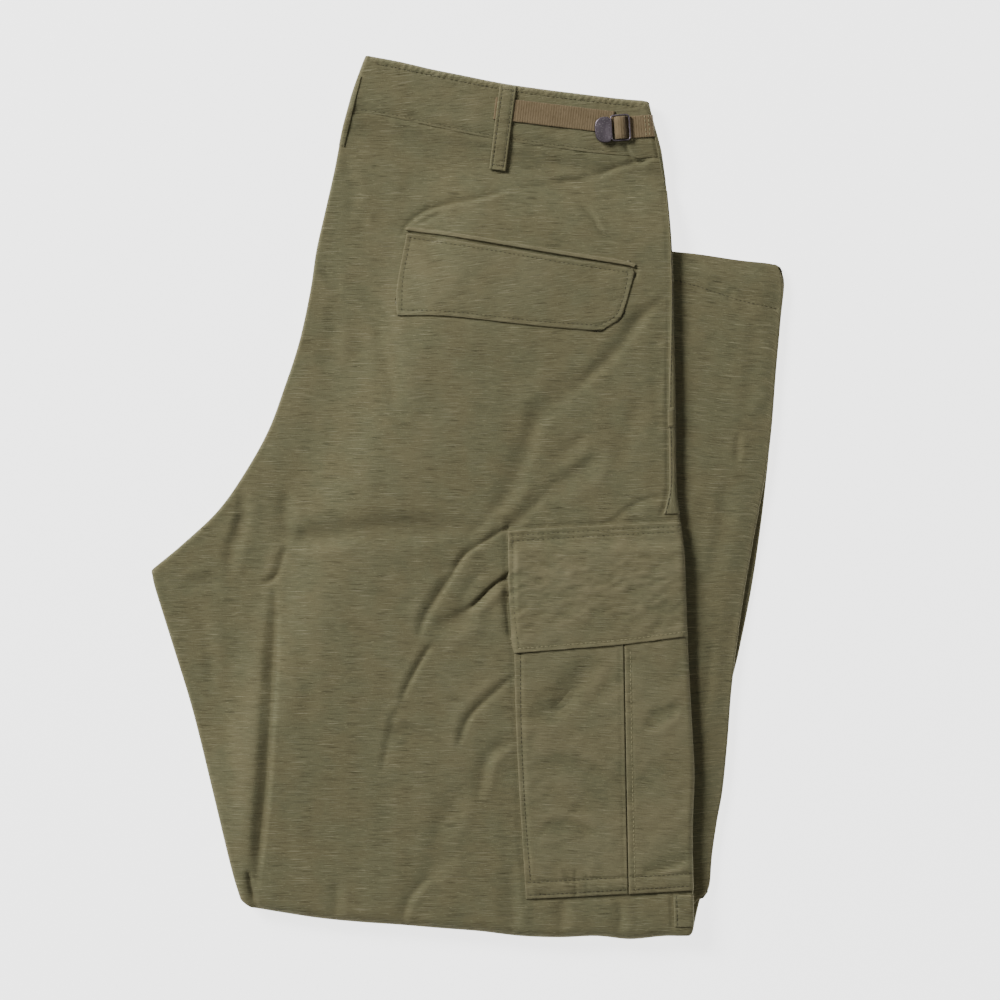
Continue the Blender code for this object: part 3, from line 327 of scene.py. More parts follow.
# %% The table of creases
CREASES = (
    # name, depth, half_width, lean (+ steep on the left), ridge (+ on the left), pull, path
    ("seat_upper", 2.3, 3.0, -0.5, -0.5, 0.9, ((-49, 186), (-46, 193), (-40, 200), (-28, 207),
                                               (-14, 211), (4, 214),
                                              (20, 218), (34, 223))),
    ("seat_upper_low", 1.1, 2.2, -0.4, 0.3, 0.5, ((-46, 194), (-32, 198), (-20, 204), (-10, 208))),
    ("seat_upper_far", 0.9, 3.4, 0.0, 0.3, 0.4, ((30, 221), (52, 224), (72, 227), (92, 229))),
    ("seat_drag", 0.9, 5.0, 0.0, 0.4, 0.0, ((-47, 188), (-58, 196), (-68, 208))),
    ("under_buckle", 1.8, 3.2, -0.5, -0.5, 0.8, ((84, 231), (97, 233), (106, 237), (122, 241), (138, 245))),
    ("buckle_hook", 1.8, 2.4, 0.6, 0.7, 0.8, ((113, 256), (116, 249), (121, 243), (130, 241))),
    ("buckle_left", 1.0, 3.0, 0.0, 0.4, 0.3, ((64, 228), (76, 229), (86, 227))),
    ("hip_short", 1.4, 3.0, 0.5, 0.7, 0.8, ((80, 212), (90, 202), (97, 190), (110, 180))),
    ("seat_line", 0.8, 7.0, -0.5, 0.5, 0.0, ((-79, 155), (-68, 133), (-61, 106), (-54, 74), (-48, 44))),
    ("seat_edge", 0.8, 6.5, 0.0, 0.4, 0.0, ((-95, 133), (-99, 110), (-102, 84))),
    ("seat_left", 1.1, 4.0, 0.5, -0.5, 0.4, ((-107, 167), (-99, 158), (-89, 148))),
    ("below_flap", 0.8, 9.0, 0.4, -0.4, 0.0, ((-12, 107), (15, 98), (34, 89), (56, 78))),
    ("hip_upper", 1.9, 5.4, 0.2, -0.15, 0.2, ((143, 140), (133, 137), (122, 126), (110, 109), (95, 94),
                                              (80, 80))),
    ("hip_middle", 1.5, 8.5, 0.2, -0.4, 0.0, ((92, 92), (74, 77), (62, 69), (51, 57), (44, 42))),
    ("thigh_upper", 1.5, 7.5, 0.1, 0.35, 0.2, ((50, 62), (42, 38), (36, 18), (26, 0), (12, -16))),
    ("thigh_lower", 1.1, 6.5, 0.3, 0.6, 0.4, ((17, -12), (4, -27), (-6, -42), (-14, -54), (-21, -68))),
    ("second_upper", 1.1, 7.5, -0.4, 0.8, 0.6, ((98, 33), (87, 24), (76, 17), (62, 8), (50, -4))),
    ("second_lower", 1.3, 5.5, 0.5, -0.6, 0.6, ((56, 2), (44, -10), (34, -19), (26, -25))),
    ("third", 0.9, 5.5, 0.0, 0.5, 0.0, ((86, 46), (73, 35), (58, 23))),
    ("flap_corner", 2.1, 3.0, 0.6, -0.7, 1.1, ((32, -19), (27, -23), (11, -33), (-2, -42.6), (-9, -54),
                                               (-14, -62))),
    ("flap_corner_low", 2.0, 4.2, 0.5, -0.7, 0.9, ((-8, -54), (-16, -64), (-23, -74), (-30.7, -87),
                                                   (-34.5, -102))),
    ("tuck_deep", 3.4, 3.0, -0.6, 1.3, 1.3, ((34, -51), (27.5, -56.4), (16, -65), (6, -75.5), (-3, -83))),
    ("tuck_shadow", 1.8, 7.0, -0.5, 0.7, 0.0, ((4, -76), (-6, -85), (-16, -90), (-26, -92))),
    ("tuck_fold", 0.7, 3.6, 0.5, -0.4, 0.4, ((12, -52), (4, -62), (-4, -74), (-7, -80))),
    ("flap_side", 1.9, 3.4, 0.9, -0.4, 0.4, ((28, -50), (29, -62), (30, -82), (32.5, -100), (34, -108))),
    ("tuck_lower", 1.8, 2.8, 0.5, -0.6, 0.9, ((-21, -101), (-27, -108), (-34, -119), (-41, -132),
                                              (-49, -150))),
    ("tuck_end", 0.9, 3.6, 0.0, -0.5, 0.5, ((-48, -148), (-54, -162), (-57, -177), (-62, -200))),
    ("thigh_patch", 1.0, 7.0, 0.4, 0.3, 0.0, ((-60, -170), (-42, -168), (-22, -177))),
    ("pocket_side", 1.7, 3.6, 0.5, -0.8, 0.9, ((37, -125), (24, -137), (10, -149), (0, -161), (-8, -184))),
    ("pocket_side_low", 1.4, 5.4, 0.3, 0.7, 0.4, ((38, -174), (22, -180), (14, -189), (10, -204), (7, -222))),
    ("pocket_foot", 1.0, 8.0, 0.0, 0.5, 0.0, ((0, -204), (-11, -222), (-20, -240), (-28, -258))),
    ("knee_patch", 1.2, 8.0, 0.0, 0.6, 0.0, ((-8, -251), (-21, -262), (-34, -276))),
    ("knee_tuck", 1.7, 4.4, 0.4, 0.6, 0.6, ((-24, -270), (-36, -281), (-43, -291), (-45, -300), (-46, -311))),
    ("knee_left", 1.3, 4.5, 0.0, 0.6, 0.4, ((-95, -274), (-94, -290), (-95, -306))),
    ("knee_soft", 1.0, 6.0, 0.0, 0.5, 0.0, ((32, -262), (31, -286), (33, -312))),
    ("knee_right", 1.2, 4.0, 0.0, 0.5, 0.4, ((109, -288), (110, -303), (108, -316))),
    ("knee_far", 1.3, 5.0, 0.0, 0.5, 0.3, ((67, -289), (68, -304), (67, -316))),
    ("seat_across", 2.7, 9.0, 0.2, -0.3, 0.0, ((-133, -30), (-121, -26), (-99, -22), (-72, -21), (-44, -20),
                                               (-18, -21), (4, -19))),
    ("seat_across_left", 1.8, 6.0, 0.0, -0.6, 0.3, ((-134, -27), (-116, -30), (-94, -28), (-70, -23))),
    ("crotch_fell", 1.3, 5.0, -0.3, 0.8, 0.3, ((-166, 10), (-163, -4), (-166, -20), (-171, -34), (-172, -49),
                                               (-170, -64))),
    ("crotch_bulge", 1.2, 6.0, 0.0, -0.9, 0.0, ((-158, -8), (-161, -22), (-164, -38))),
    ("crotch_point", 0.9, 6.0, 0.0, 0.5, 0.0, ((-206, -60), (-192, -62), (-178, -58))),
    ("crotch_inner", 1.8, 3.4, 0.5, -0.7, 0.6, ((-131, -34), (-133, -44), (-136, -54), (-141, -60),
                                                (-150, -62))),
    ("crotch_upper", 1.5, 6.0, 0.0, 0.7, 0.3, ((-132, 6), (-132, -12), (-131, -34))),
    ("leg_groove", 4.5, 5.8, 0.95, -0.6, 0.6, ((-137, -56), (-137.5, -70), (-138, -95), (-139.3, -131),
                                               (-141.5, -167), (-143.6, -203), (-147, -239), (-150.8, -275),
                                               (-152, -292))),
    ("corner_gap", 4.4, 2.6, 0.6, -0.9, 0.9, ((-157.5, -266), (-155.5, -280), (-153, -290), (-149, -300))),
    ("thigh_a", 0.8, 5.0, 0.0, 0.4, 0.0, ((-92, -90), (-76, -98), (-60, -110))),
    ("thigh_b", 0.7, 4.5, 0.0, 0.3, 0.0, ((-73, -65), (-54, -74), (-38, -78))),
    ("thigh_c", 0.7, 7.0, 0.0, 0.3, 0.0, ((-122, -100), (-116, -131), (-115, -166))),
    ("inseam_a", 0.7, 5.0, 0.0, 0.3, 0.0, ((-196, -72), (-188, -103), (-183, -141))),
    ("inseam_b", 0.6, 6.0, 0.0, 0.3, 0.0, ((-178, -144), (-174, -182), (-170, -224))),
    ("side_tuck", 1.1, 3.2, -0.4, 0.3, 0.5, ((148, 4), (135, 0), (124, -3), (114, -9), (105, -16), (91, -21),
                                             (76, -24))),
    ("side_a", 0.4, 6.0, 0.0, 0.15, 0.0, ((135, 118), (136, 92), (136, 60))),
    ("side_b", 0.7, 7.0, 0.0, 0.25, 0.0, ((126, 74), (116, 49), (107, 18))),
    ("waist_left", 0.7, 5.0, 0.0, 0.4, 0.0, ((-89, 248), (-83, 221), (-85, 198))),
)


print("deepest crease:", max(row[1] for row in CREASES), "mm")

# %% [markdown]
# A crease could be carved with a sculpting brush. A formula of the distance from a line does the same for
# every point at once, and a crease is moved or softened by changing one row of the table.

# %% How a crease shapes the cloth
def crease_relief(x, y, rows):
    """Height change and sideways pull of all the creases.

    A groove is -depth * exp(-|d / wall|^p). Where it leans, its steep wall is narrow and the other one
    wide; a lean of 0.9 makes that other wall a plain slope, as on cloth that is folded over itself. The
    ridge is a bell just past the wall on its side. Both walls narrow towards the crease's ends. The pull
    moves a point towards the path, most at one width from it.
    """
    rise, pull_x, pull_y = np.zeros(np.shape(x)), np.zeros(np.shape(x)), np.zeros(np.shape(x))
    for number, (_, depth, width, lean, ridge, pull, path) in enumerate(rows):
        line = smooth_line(path, 5.0)
        near = near_line(x, y, line, 5.0 * width)
        if not near.any():
            continue
        d, at, out_x, out_y = from_path(x[near], y[near], line)
        total = run_along(line)[-1]
        fade = smooth_step(0.12 + np.minimum(at, total - at) / (0.3 * total))
        taper = 0.45 + 0.55 * fade
        fade = fade * (1.0 + 0.25 * soft_noise(at / 14.0, np.full_like(at, 0.5), 40 + number))
        steep = d * lean > 0
        wall = taper * width * np.where(steep, 1.0 - 0.75 * abs(lean), 1.0 + 0.55 * abs(lean))
        share = np.abs(d) / wall
        groove = np.exp(-share ** np.where(steep, 2.0, 1.6 if width < 5.0 else 2.0))
        if abs(lean) >= 0.9:
            groove = np.where(steep, groove, np.clip(1.08 - share, 0.0, 1.0) ** 0.9)
        past = width * taper * (1.0 - 0.75 * abs(lean) if ridge * lean > 0 else 1.0 + 0.55 * abs(lean))
        beside = np.exp(-((d - math.copysign(1.0, ridge) * (1.45 * past + 0.6)) / (0.6 * past + 0.9)) ** 2)
        rise[near] += fade * (abs(ridge) * beside - depth * groove)
        drawn = pull * fade * np.abs(d) / width * np.exp(0.5 - 0.5 * (d / width) ** 2)
        pull_x[near] -= drawn * out_x
        pull_y[near] -= drawn * out_y
    return rise, pull_x, pull_y


# %% [markdown]
# Sewn pieces are stiff and hold the panel flat below them. Where grooves meet, the layers stop them.

# %% Waves, stiff places and the whole relief
def cloth_waves(x, y):
    """The cloth's own unevenness: long swells from hip to crotch, shorter ones, and fine crumple."""
    return (0.42 * swell(x, y, 58, 120, 46, 1) + 0.24 * swell(x, y, 42, 52, 22, 2)
            + 0.13 * swell(x, y, 100, 30, 14, 3) + 0.07 * swell(x, y, 20, 13, 7, 4))


STIFF = (
    # how much of the relief a sewn piece takes away, and its outline
    (0.92, ((29, -22), (160, -14), (160, -100), (113, -105), (33, -112), (29, -57))),
    (0.60, ((33, -104), (160, -98), (164, -283), (42, -289), (37, -220))),
    (0.85, ((-44, 191), (-51, 150), (-51, 131), (46, 123), (97, 120), (112, 130), (120, 163), (23, 181))),
)
STIFF_FIELDS = [(share, distance_field(np.array(loop, float), 12.0, 2.0)) for share, loop in STIFF]


def held_up(rise):
    """Where grooves meet, the layers below hold the cloth up: past 3 mm the depth grows to 4.8 at most."""
    return np.maximum(rise, -3.0) - 1.8 * np.tanh(np.maximum(-rise - 3.0, 0.0) / 1.8)


def panel_relief(x, y):
    """Creases and waves of the right back panel, dying out at its rim, with their sideways pull."""
    calm = smooth_step((-to_upper(x, y) - 1.5) / 9.0)
    rise, pull_x, pull_y = crease_relief(x, y, CREASES)
    free = np.ones(np.shape(x))
    for share, field in STIFF_FIELDS:
        free *= 1.0 - share * smooth_step((1.0 - field(x, y)) / 4.0)
    edge = (0.25 + 0.75 * calm) * free
    return edge * held_up(rise + cloth_waves(x, y)), calm * free * pull_x, calm * free * pull_y


print("creases:", len(CREASES))

# %% [markdown]
# ## From a grid to a shell
#
# A cut piece of cloth has four sides, so it is a grid of points between four edge lines (a Coons patch). The
# outer face has the fine grid. At its rim a skirt turns down, and a coarser grid one ply further in closes
# the shell. Seen close up this is cloth with a real thickness, and not a sheet of paper.

# %% Grids between four edges
def spacing(length, step, roll):
    """Places from 0 to 1 over a length: even in the middle, closer at both ends where the cloth rolls."""
    ends = roll * np.array([0.0, 0.03, 0.13, 0.3, 0.55])
    count = max(2, int(round((length - 2 * roll) / step)))
    count += count % 2
    return np.concatenate([ends, np.linspace(roll, length - roll, count + 1), length - ends[::-1]]) / length


def patch(bottom, side, top, back, u, v):
    """Points of a Coons patch: both ruled surfaces between facing edges, less the one between corners."""
    def at(edge, t):
        return np.column_stack([np.interp(t, np.linspace(0, 1, len(edge)), edge[:, k]) for k in (0, 1)])

    u, v = np.asarray(u)[:, None, None], np.asarray(v)[None, :, None]
    low, high = at(bottom, u[:, 0, 0])[:, None], at(top, u[:, 0, 0])[:, None]
    left, right = at(back, v[0, :, 0])[None], at(side, v[0, :, 0])[None]
    corners = ((1 - u) * (1 - v) * bottom[0] + u * (1 - v) * bottom[-1] + (1 - u) * v * top[0]
               + u * v * top[-1])
    return (1 - v) * low + v * high + (1 - u) * left + u * right - corners


def joined_corners(lines):
    """The bottom, side, top and back lines, drawn together so that they meet at four shared corners."""
    for a, a_end, b, b_end in ((0, 0, 3, 0), (0, -1, 1, 0), (2, -1, 1, -1), (2, 0, 3, -1)):
        lines[a][a_end] = lines[b][b_end] = (lines[a][a_end] + lines[b][b_end]) / 2
    return lines


def four_edges(bottom, side, top, back):
    """The edges as fine lines that meet at their corners; the upright ones are read at even heights."""
    lines = joined_corners([smooth_line(edge, 1.0) for edge in (bottom, side, top, back)])
    for k in (1, 3):
        y = np.linspace(lines[k][0, 1], lines[k][-1, 1], len(lines[k]))
        order = np.argsort(lines[k][:, 1])
        lines[k] = np.column_stack([np.interp(y, lines[k][order, 1], lines[k][order, 0]), y])
    return lines


def around(lines, every):
    """One closed loop from the bottom, side, top and back lines, of every so many points."""
    return np.vstack([lines[0], lines[1], lines[2][::-1], lines[3][::-1]])[::every]


def rim_loop(nu, nv):
    """Numbers of a grid's rim points, anticlockwise from its first corner."""
    index = numbers(nu, nv)
    return np.concatenate([index[:-1, 0], index[-1, :-1], index[:0:-1, -1], index[0, :0:-1]])


def grid_normals(points):
    """Unit normals of a grid of points, the cross product of its two directions."""
    return unit(np.cross(np.gradient(points, axis=0), np.gradient(points, axis=1)))


# %% [markdown]
# A thin cloth could be a plane with Solidify and Subdivision modifiers. Here points and faces go straight
# from arrays into the mesh, so the rim has rings of its own and the hidden inner face can be coarser.

# %% One mesh from arrays
def placed(name, data):
    """An object of a mesh, light or camera, put into the scene."""
    item = bpy.data.objects.new(name, data)
    bpy.context.scene.collection.objects.link(item)
    return item


def fill_mesh(name, verts, quads, tris, uv=None, wear_and_shade=None):
    """A smooth-shaded object from arrays in millimetres: four-cornered faces, then three-cornered ones."""
    mesh = bpy.data.meshes.new(name)
    quads, tris = np.asarray(quads, int).reshape(-1, 4), np.asarray(tris, int).reshape(-1, 3)
    corners = np.concatenate([quads.ravel(), tris.ravel()])
    starts = np.concatenate([np.arange(len(quads)) * 4, len(quads) * 4 + np.arange(len(tris)) * 3])
    mesh.vertices.add(len(verts))
    mesh.vertices.foreach_set("co", (np.asarray(verts) * MM).ravel())
    mesh.loops.add(len(corners))
    mesh.loops.foreach_set("vertex_index", corners)
    mesh.polygons.add(len(starts))
    mesh.polygons.foreach_set("loop_start", starts)
    mesh.update(calc_edges=True)
    mesh.polygons.foreach_set("use_smooth", np.ones(len(starts), bool))
    if uv is not None:
        layer = mesh.uv_layers.new(name="cloth")
        layer.data.foreach_set("uv", (np.asarray(uv)[corners] * MM).ravel())
    if wear_and_shade is not None:
        mesh.attributes.new("wear_and_shade", "FLOAT", "POINT").data.foreach_set("value", np.asarray(wear_and_shade, float))
    piece = placed(name, mesh)
    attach(piece, "root")
    return piece


def stitch_rings(upper, lower):
    """Quads between two rings of as many points."""
    return np.column_stack([upper, lower, np.roll(lower, -1), np.roll(upper, -1)])


def step_down(fine, coarse):
    """Triangles between a ring and one of half as many points."""
    a, b, c = fine[0::2], fine[1::2], np.roll(fine[0::2], -1)
    d, e = coarse, np.roll(coarse, -1)
    return np.vstack([np.column_stack([a, d, b]), np.column_stack([b, d, e]), np.column_stack([b, e, c])])


def grid_quads(nu, nv, start=0):
    """The faces of a grid, turned to the side from which it runs anticlockwise."""
    k = start + numbers(nu, nv)
    return np.stack([k[:-1, :-1], k[1:, :-1], k[1:, 1:], k[:-1, 1:]], axis=-1).reshape(-1, 4)


# %% [markdown]
# One piece of cloth is such a mesh closed all round: outer grid, skirt, lip and inner grid.

# %% A closed shell
def tube_quads(k):
    """Faces between rings of point numbers: the last axis goes round a ring, the one before it along."""
    after = np.roll(k, -1, axis=-1)
    corners = [k[..., :-1, :], after[..., :-1, :], after[..., 1:, :], k[..., 1:, :]]
    return np.stack(corners, axis=-1).reshape(-1, 4)


def two_skirts(fall, inset=0.0):
    """Skirt rings for a shell: one half way down, straight below the rim, and one at the foot."""
    return [(0.0, 0.5 * fall), (inset, fall)]


def shell(name, outer, rings, ply, side=1, turn=0.0, offset=(0.0, 0.0), wear_and_shade=None):
    """A closed shell: outer grid, skirt rings, and a grid of every second point one ply further in.

    Each ring is (inset, fall), how far in and how far below the rim its points lie, and the inner face is
    outer - ply * normal. side -1 is for a piece whose outer face looks down.
    """
    nu, nv = outer.shape[:2]
    rim = rim_loop(nu, nv)
    edge = outer.reshape(-1, 3)[rim]
    ahead = np.roll(edge, -1, axis=0)[:, :2] - np.roll(edge, 1, axis=0)[:, :2]
    out = unit(np.column_stack([ahead[:, 1], -ahead[:, 0]]))
    skirts = [np.column_stack([edge[:, :2] - out * np.reshape(inset, (-1, 1)), edge[:, 2] - side * fall])
              for inset, fall in rings]
    inner = (outer - side * ply * grid_normals(outer))[::2, ::2]
    low_inset, low_fall = rings[-1]
    lip = np.column_stack([edge[:, :2] - out * np.reshape(low_inset + ply, (-1, 1)),
                           edge[:, 2] - side * low_fall])[::2]
    count, size = nu * nv, len(rim)
    verts = np.vstack([outer.reshape(-1, 3)] + skirts + [lip, inner.reshape(-1, 3)])
    loops = [rim] + [count + k * size + np.arange(size) for k in range(len(skirts))]
    lip_ring = count + len(skirts) * size + np.arange(size // 2)
    inner_start = lip_ring[-1] + 1
    mu, mv = inner.shape[:2]
    quads = [grid_quads(nu, nv)] + [stitch_rings(a, b) for a, b in zip(loops, loops[1:])]
    quads += [stitch_rings(lip_ring, inner_start + rim_loop(mu, mv)),
              grid_quads(mu, mv, inner_start)[:, ::-1]]
    quads, tris = np.vstack(quads), step_down(loops[-1], lip_ring)
    if side < 0:
        quads, tris = quads[:, ::-1], tris[:, ::-1]
    beyond = [edge[:, :2] + out * np.reshape(np.hypot(inset, fall), (-1, 1)) for inset, fall in rings]
    flat = np.vstack([outer.reshape(-1, 3)[:, :2]] + beyond + [beyond[-1][::2], inner.reshape(-1, 3)[:, :2]])
    c, s = math.cos(math.radians(turn)), math.sin(math.radians(turn))
    uv = flat @ np.array([[c, s], [-s, c]]) + np.asarray(offset)
    wear_and_shade_values = np.zeros(count) if wear_and_shade is None else np.asarray(wear_and_shade, float).ravel()
    wear_and_shade_values = np.concatenate([wear_and_shade_values] + [wear_and_shade_values[rim]] * len(rings) + [wear_and_shade_values[rim][::2],
                                                              wear_and_shade_values.reshape(nu, nv)[::2, ::2].ravel()])
    return fill_mesh(name, verts, quads, tris, uv, wear_and_shade_values)


# %% [markdown]
# Each piece prints the flat size that it is cut to, beside its own area.

# %% Cut sizes
def plan_area(outline):
    """The area inside a loop, by the shoelace formula."""
    x, y = np.asarray(outline, float).T[:2]
    return abs(np.dot(x, np.roll(y, -1)) - np.dot(y, np.roll(x, -1))) / 2


def cut_piece(piece, grid, times=1.0, slanted=False):
    """Prints a sheet's plan area and its size along X and Y, or along its own two directions."""
    rim = grid.reshape(-1, grid.shape[2])[rim_loop(*grid.shape[:2])]
    size = [np.ptp(rim[:, 0]) * MM * times, np.ptp(rim[:, 1]) * MM]
    if slanted:
        middles = grid[:, grid.shape[1] // 2], grid[grid.shape[0] // 2]
        size = [max(run_along(line)[-1] * MM, 0.01) for line in middles]
    area = plan_area(rim) * MM * MM * times
    print(piece.name, "cut", [round(v, 3) for v in size], "area", round(area, 4), "m2,",
          sum(len(p.vertices) - 2 for p in piece.data.polygons), "triangles")


# %% [markdown]
# ## The right back panel
#
# This is the large piece on top: seat and leg in one, down to the knee fold. Its rim rolls over on a small
# circle, since two seamed plies never fold sharp. At the knee the circle is large and the cloth turns right
# under the stack.

# %% Rolled edges and seams
def roll_drop(d, roll):
    """How far a surface has fallen at d in from its rim: R - sqrt(R^2 - (R - d)^2), a quarter circle."""
    inner = np.clip(roll - d, 0.0, roll)
    return roll - np.sqrt(np.maximum(roll ** 2 - inner ** 2, 0.0))


def knee_share(x, y):
    """1 at the knee fold and 0 at the other edges, blended at its two ends."""
    ends = np.clip((x + 160.0) / 14.0, 0, 1) * np.clip((156.0 - x) / 14.0, 0, 1)
    return smooth_step(ends) * smooth_step(1.0 - (y - edge_y(x, KNEE_EDGE) - 4.0) / 16.0)


def seam_relief(x, y, rows):
    """Sewn lines: a trough along each path and, across it, puckers where the thread has drawn it in.

    The puckers are noise along the path, pitch apart, times exp(-(d / reach)^2). The trough is
    -depth * exp(-(d / width)^2), made up to a half deeper or shallower by the same noise.
    """
    rise = np.zeros(np.shape(x))
    for number, (path, depth, width, pucker, pitch, reach) in enumerate(rows):
        line = smooth_line(path, 4.0)
        near = near_line(x, y, line, 2.5 * reach)
        if not near.any():
            continue
        d, at, _, _ = from_path(x[near], y[near], line)
        lean = at + 0.35 * d
        waves = soft_noise(lean / (0.5 * pitch), d / 25.0 + 3.5, 70 + number)
        waves += 0.5 * soft_noise(lean / (1.3 * pitch), d / 25.0 + 7.5, 90 + number)
        ripple = pucker * waves * np.exp(-(d / reach) ** 2)
        rise[near] += ripple - depth * (1.0 + 0.3 * waves) * np.exp(-(d / width) ** 2)
    return rise


# %% [markdown]
# Where thread is pulled tight it draws the cloth in, so every seam is a trough with puckers across it. They
# could be a bump texture, but real height catches the light at the rim too.

# %% The panel itself
UPPER_LINES = four_edges(KNEE_EDGE, SIDE_EDGE, WAIST_EDGE, BACK_EDGE)
BAND_SEAM = [(x, edge_y(x, WAIST_EDGE) - BAND_DEPTH) for x in (-97.0, -60.0, -20.0, 20.0, 60.0, 100.0, 142.0)]
PANEL_SEAMS = (
    # path, trough's depth and half-width, puckers' height, pitch and reach
    ([(x, y - 1.0) for x, y in BAND_SEAM], 0.1, 1.2, 0.30, 8.0, 7.0),
    (((-46, 190.9), (23.4, 180.7), (70.0, 172.8), (117, 165.8), (120.8, 160)), 1.6, 1.2, 0.20, 9.0, 8.0),
    (((-50, 131), (-12, 129), (46, 122), (97, 118)), 0.5, 1.4, 0.25, 9.0, 6.0),
    (((28.6, -22), (28.6, -57), (31, -99)), 1.2, 1.8, 0.45, 7.5, 7.0),
    (((33, -104), (34.4, -165), (37.2, -221), (41.5, -290)), 0.8, 1.4, 0.35, 7.5, 6.0),
    (((41, -290), (79, -289), (117, -287), (160, -284)), 0.6, 1.5, 0.35, 8.0, 6.0),
    (((141.4, 220), (144.2, 182), (145.2, 142), (143.6, 70), (144.0, 6),
      (139.6, -12)), 1.5, 1.0, 0.35, 8.5, 6.5),
    (((28, -23), (90, -19), (153, -16)), 1.1, 1.3, 0.45, 7.5, 6.0),
    (((147.6, -309), (146.8, -286)), 1.3, 1.0, 0.40, 8.5, 6.0),
    (((134.4, 259), (135.6, 252), (138.6, 240), (140.4, 228)), 1.5, 0.9, 0.2, 8.0, 4.0),
)


def below_band(x, y):
    """The panel stands up a little towards the band's seam, 0.35 mm over 12 mm, and dives under it."""
    below = edge_y(x, WAIST_EDGE) - BAND_DEPTH - y
    return 0.35 * smooth_step(1.0 - below / 12.0) * smooth_step((below + 0.3) / 1.6)


def build_right_back():
    """The panel: stack height, creases, seams and rolled rim, each point drawn sideways by the creases."""
    u, v = spacing(PANEL_WIDE, 1.75, EDGE_ROLL), spacing(PANEL_LONG, 1.75, 3.6)
    plan = patch(*UPPER_LINES, u, v)
    x, y = plan[..., 0], plan[..., 1]
    rise, pull_x, pull_y = panel_relief(x, y)
    inward = -to_upper(x, y)
    roll = EDGE_ROLL + knee_share(x, y) * (KNEE_ROLL - EDGE_ROLL)
    z = stack_height(x, y) + rise - roll_drop(inward, roll)
    calm = smooth_step((inward - 1.0) / 5.0)
    z = z + calm * (seam_relief(x, y, PANEL_SEAMS) + below_band(x, y))
    outer = np.stack([x + pull_x, y + pull_y, z], axis=-1)
    rim = rim_loop(len(u), len(v))
    edge = outer.reshape(-1, 3)[rim]
    knee = knee_share(edge[:, 0], edge[:, 1])
    full = EDGE_DROP - EDGE_ROLL + knee * (edge[:, 2] - KNEE_FLOOR - EDGE_DROP + EDGE_ROLL)
    rings = [(knee * KNEE_TUCK * (1.0 - math.cos(a)), full * math.sin(a))
             for a in np.radians([12.0, 26.0, 42.0, 60.0, 90.0])]
    # A value the shader reads: paler at the rim, where the cloth is rubbed, paler on crease ridges and darker
    # in crease grooves, a painted highlight and painted shade.
    wear_and_shade = 0.5 + 0.2 * np.clip(rise, -2.0, 1.2) + 0.04 * np.exp(-np.maximum(inward, 0) / 1.3)
    piece = shell("back_cloth_right", outer, rings, PLY, wear_and_shade=np.clip(wear_and_shade, 0, 1))
    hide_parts("right_back_panel")
    cut_piece(piece, plan)
    return piece


right_back = build_right_back()

# %% [markdown]
# ## Pieces sewn on the panel
#
# Waistband, flaps, pocket and loops follow the panel that carries them: their points are the panel's moved
# out, so they bend where it bends. A free edge is rounded on its own small radius. An edge that lies on the
# panel's rim rolls over with it.

# %% One sewn piece
OUTSET = 0.3


def wrapped(x, y, lift):
    """The panel's surface moved out by a lift, with a wider roll at the rim, and the creases' pull."""
    rise, pull_x, pull_y = panel_relief(x, y)
    roll = EDGE_ROLL + 0.6 * lift
    drop = roll_drop(OUTSET - to_upper(x, y), roll)
    return stack_height(x, y) + rise + lift - drop, pull_x, pull_y


def sewn_piece(name, edges, under, thick, step, wrap=(), relief=(), turn=0.0, offset=(0.0, 0.0), soft=0.85,
               shape=None, pale=0.0):
    """A closed shell over the panel, and its outer face's function.

    edges are bottom, side, top and back. The top is at under + thick, plus shape's change for a piece that
    is pressed thin at a seam; towards each edge that isn't in wrap it falls on a quarter circle, and its
    skirt goes down to what carries it. pale paints the whole piece lighter: painted light.
    """
    lines = four_edges(*edges)
    size = [np.mean([run_along(lines[k])[-1] for k in pair]) for pair in ((0, 2), (1, 3))]
    roll = soft * thick
    plan = patch(*lines, spacing(size[0], step, roll), spacing(size[1], step, roll))
    x, y = plan[..., 0], plan[..., 1]

    lies_on = under if callable(under) else lambda px, py: under

    def above(px, py):
        flat = lies_on(px, py) + thick
        return flat if shape is None else flat + shape(px, py)

    def face(px, py):
        z, pull_x, pull_y = wrapped(px, py, above(px, py))
        for part in relief:
            z = z + (part(px, py) if callable(part) else seam_relief(px, py, part))
        return np.stack([px + pull_x, py + pull_y, z], axis=-1)

    outer = face(x, y)
    free = [lines[k] for k, side in enumerate(("bottom", "side", "top", "back")) if side not in wrap]
    inset = np.min([np.abs(from_path(x, y, line[::4])[0]) for line in free], axis=0)
    outer[..., 2] -= roll_drop(inset, roll)
    rim = rim_loop(*x.shape)
    rx, ry, rz = x.ravel()[rim], y.ravel()[rim], outer[..., 2].ravel()[rim]
    foot = wrapped(rx, ry, lies_on(rx, ry) - 0.15)[0]
    outside = smooth_step((to_upper(rx, ry) + 2.2) / 1.6)
    foot = foot * (1 - outside) + (stack_height(rx, ry) - EDGE_DROP) * outside
    fall = np.maximum(rz - foot, 0.2)
    own = face(x, y)[..., 2] - wrapped(x, y, above(x, y))[0]
    # Paler at the free edges, where the cloth is rubbed; paler on the piece's own puckers and ribs and darker
    # in its stitched troughs and dents, a painted highlight and painted shade; pale lifts the whole piece,
    # painted light.
    wear_and_shade = np.clip(0.5 + pale + 0.26 * np.exp(-inset / 0.9) + 0.5 * np.clip(own, -0.9, 0.7), 0, 1)
    ply = 0.8 * thick if shape is None else 0.45
    piece = shell(name, outer, two_skirts(fall, 0.12), ply, turn=turn, offset=offset, wear_and_shade=wear_and_shade)
    return piece, face, plan


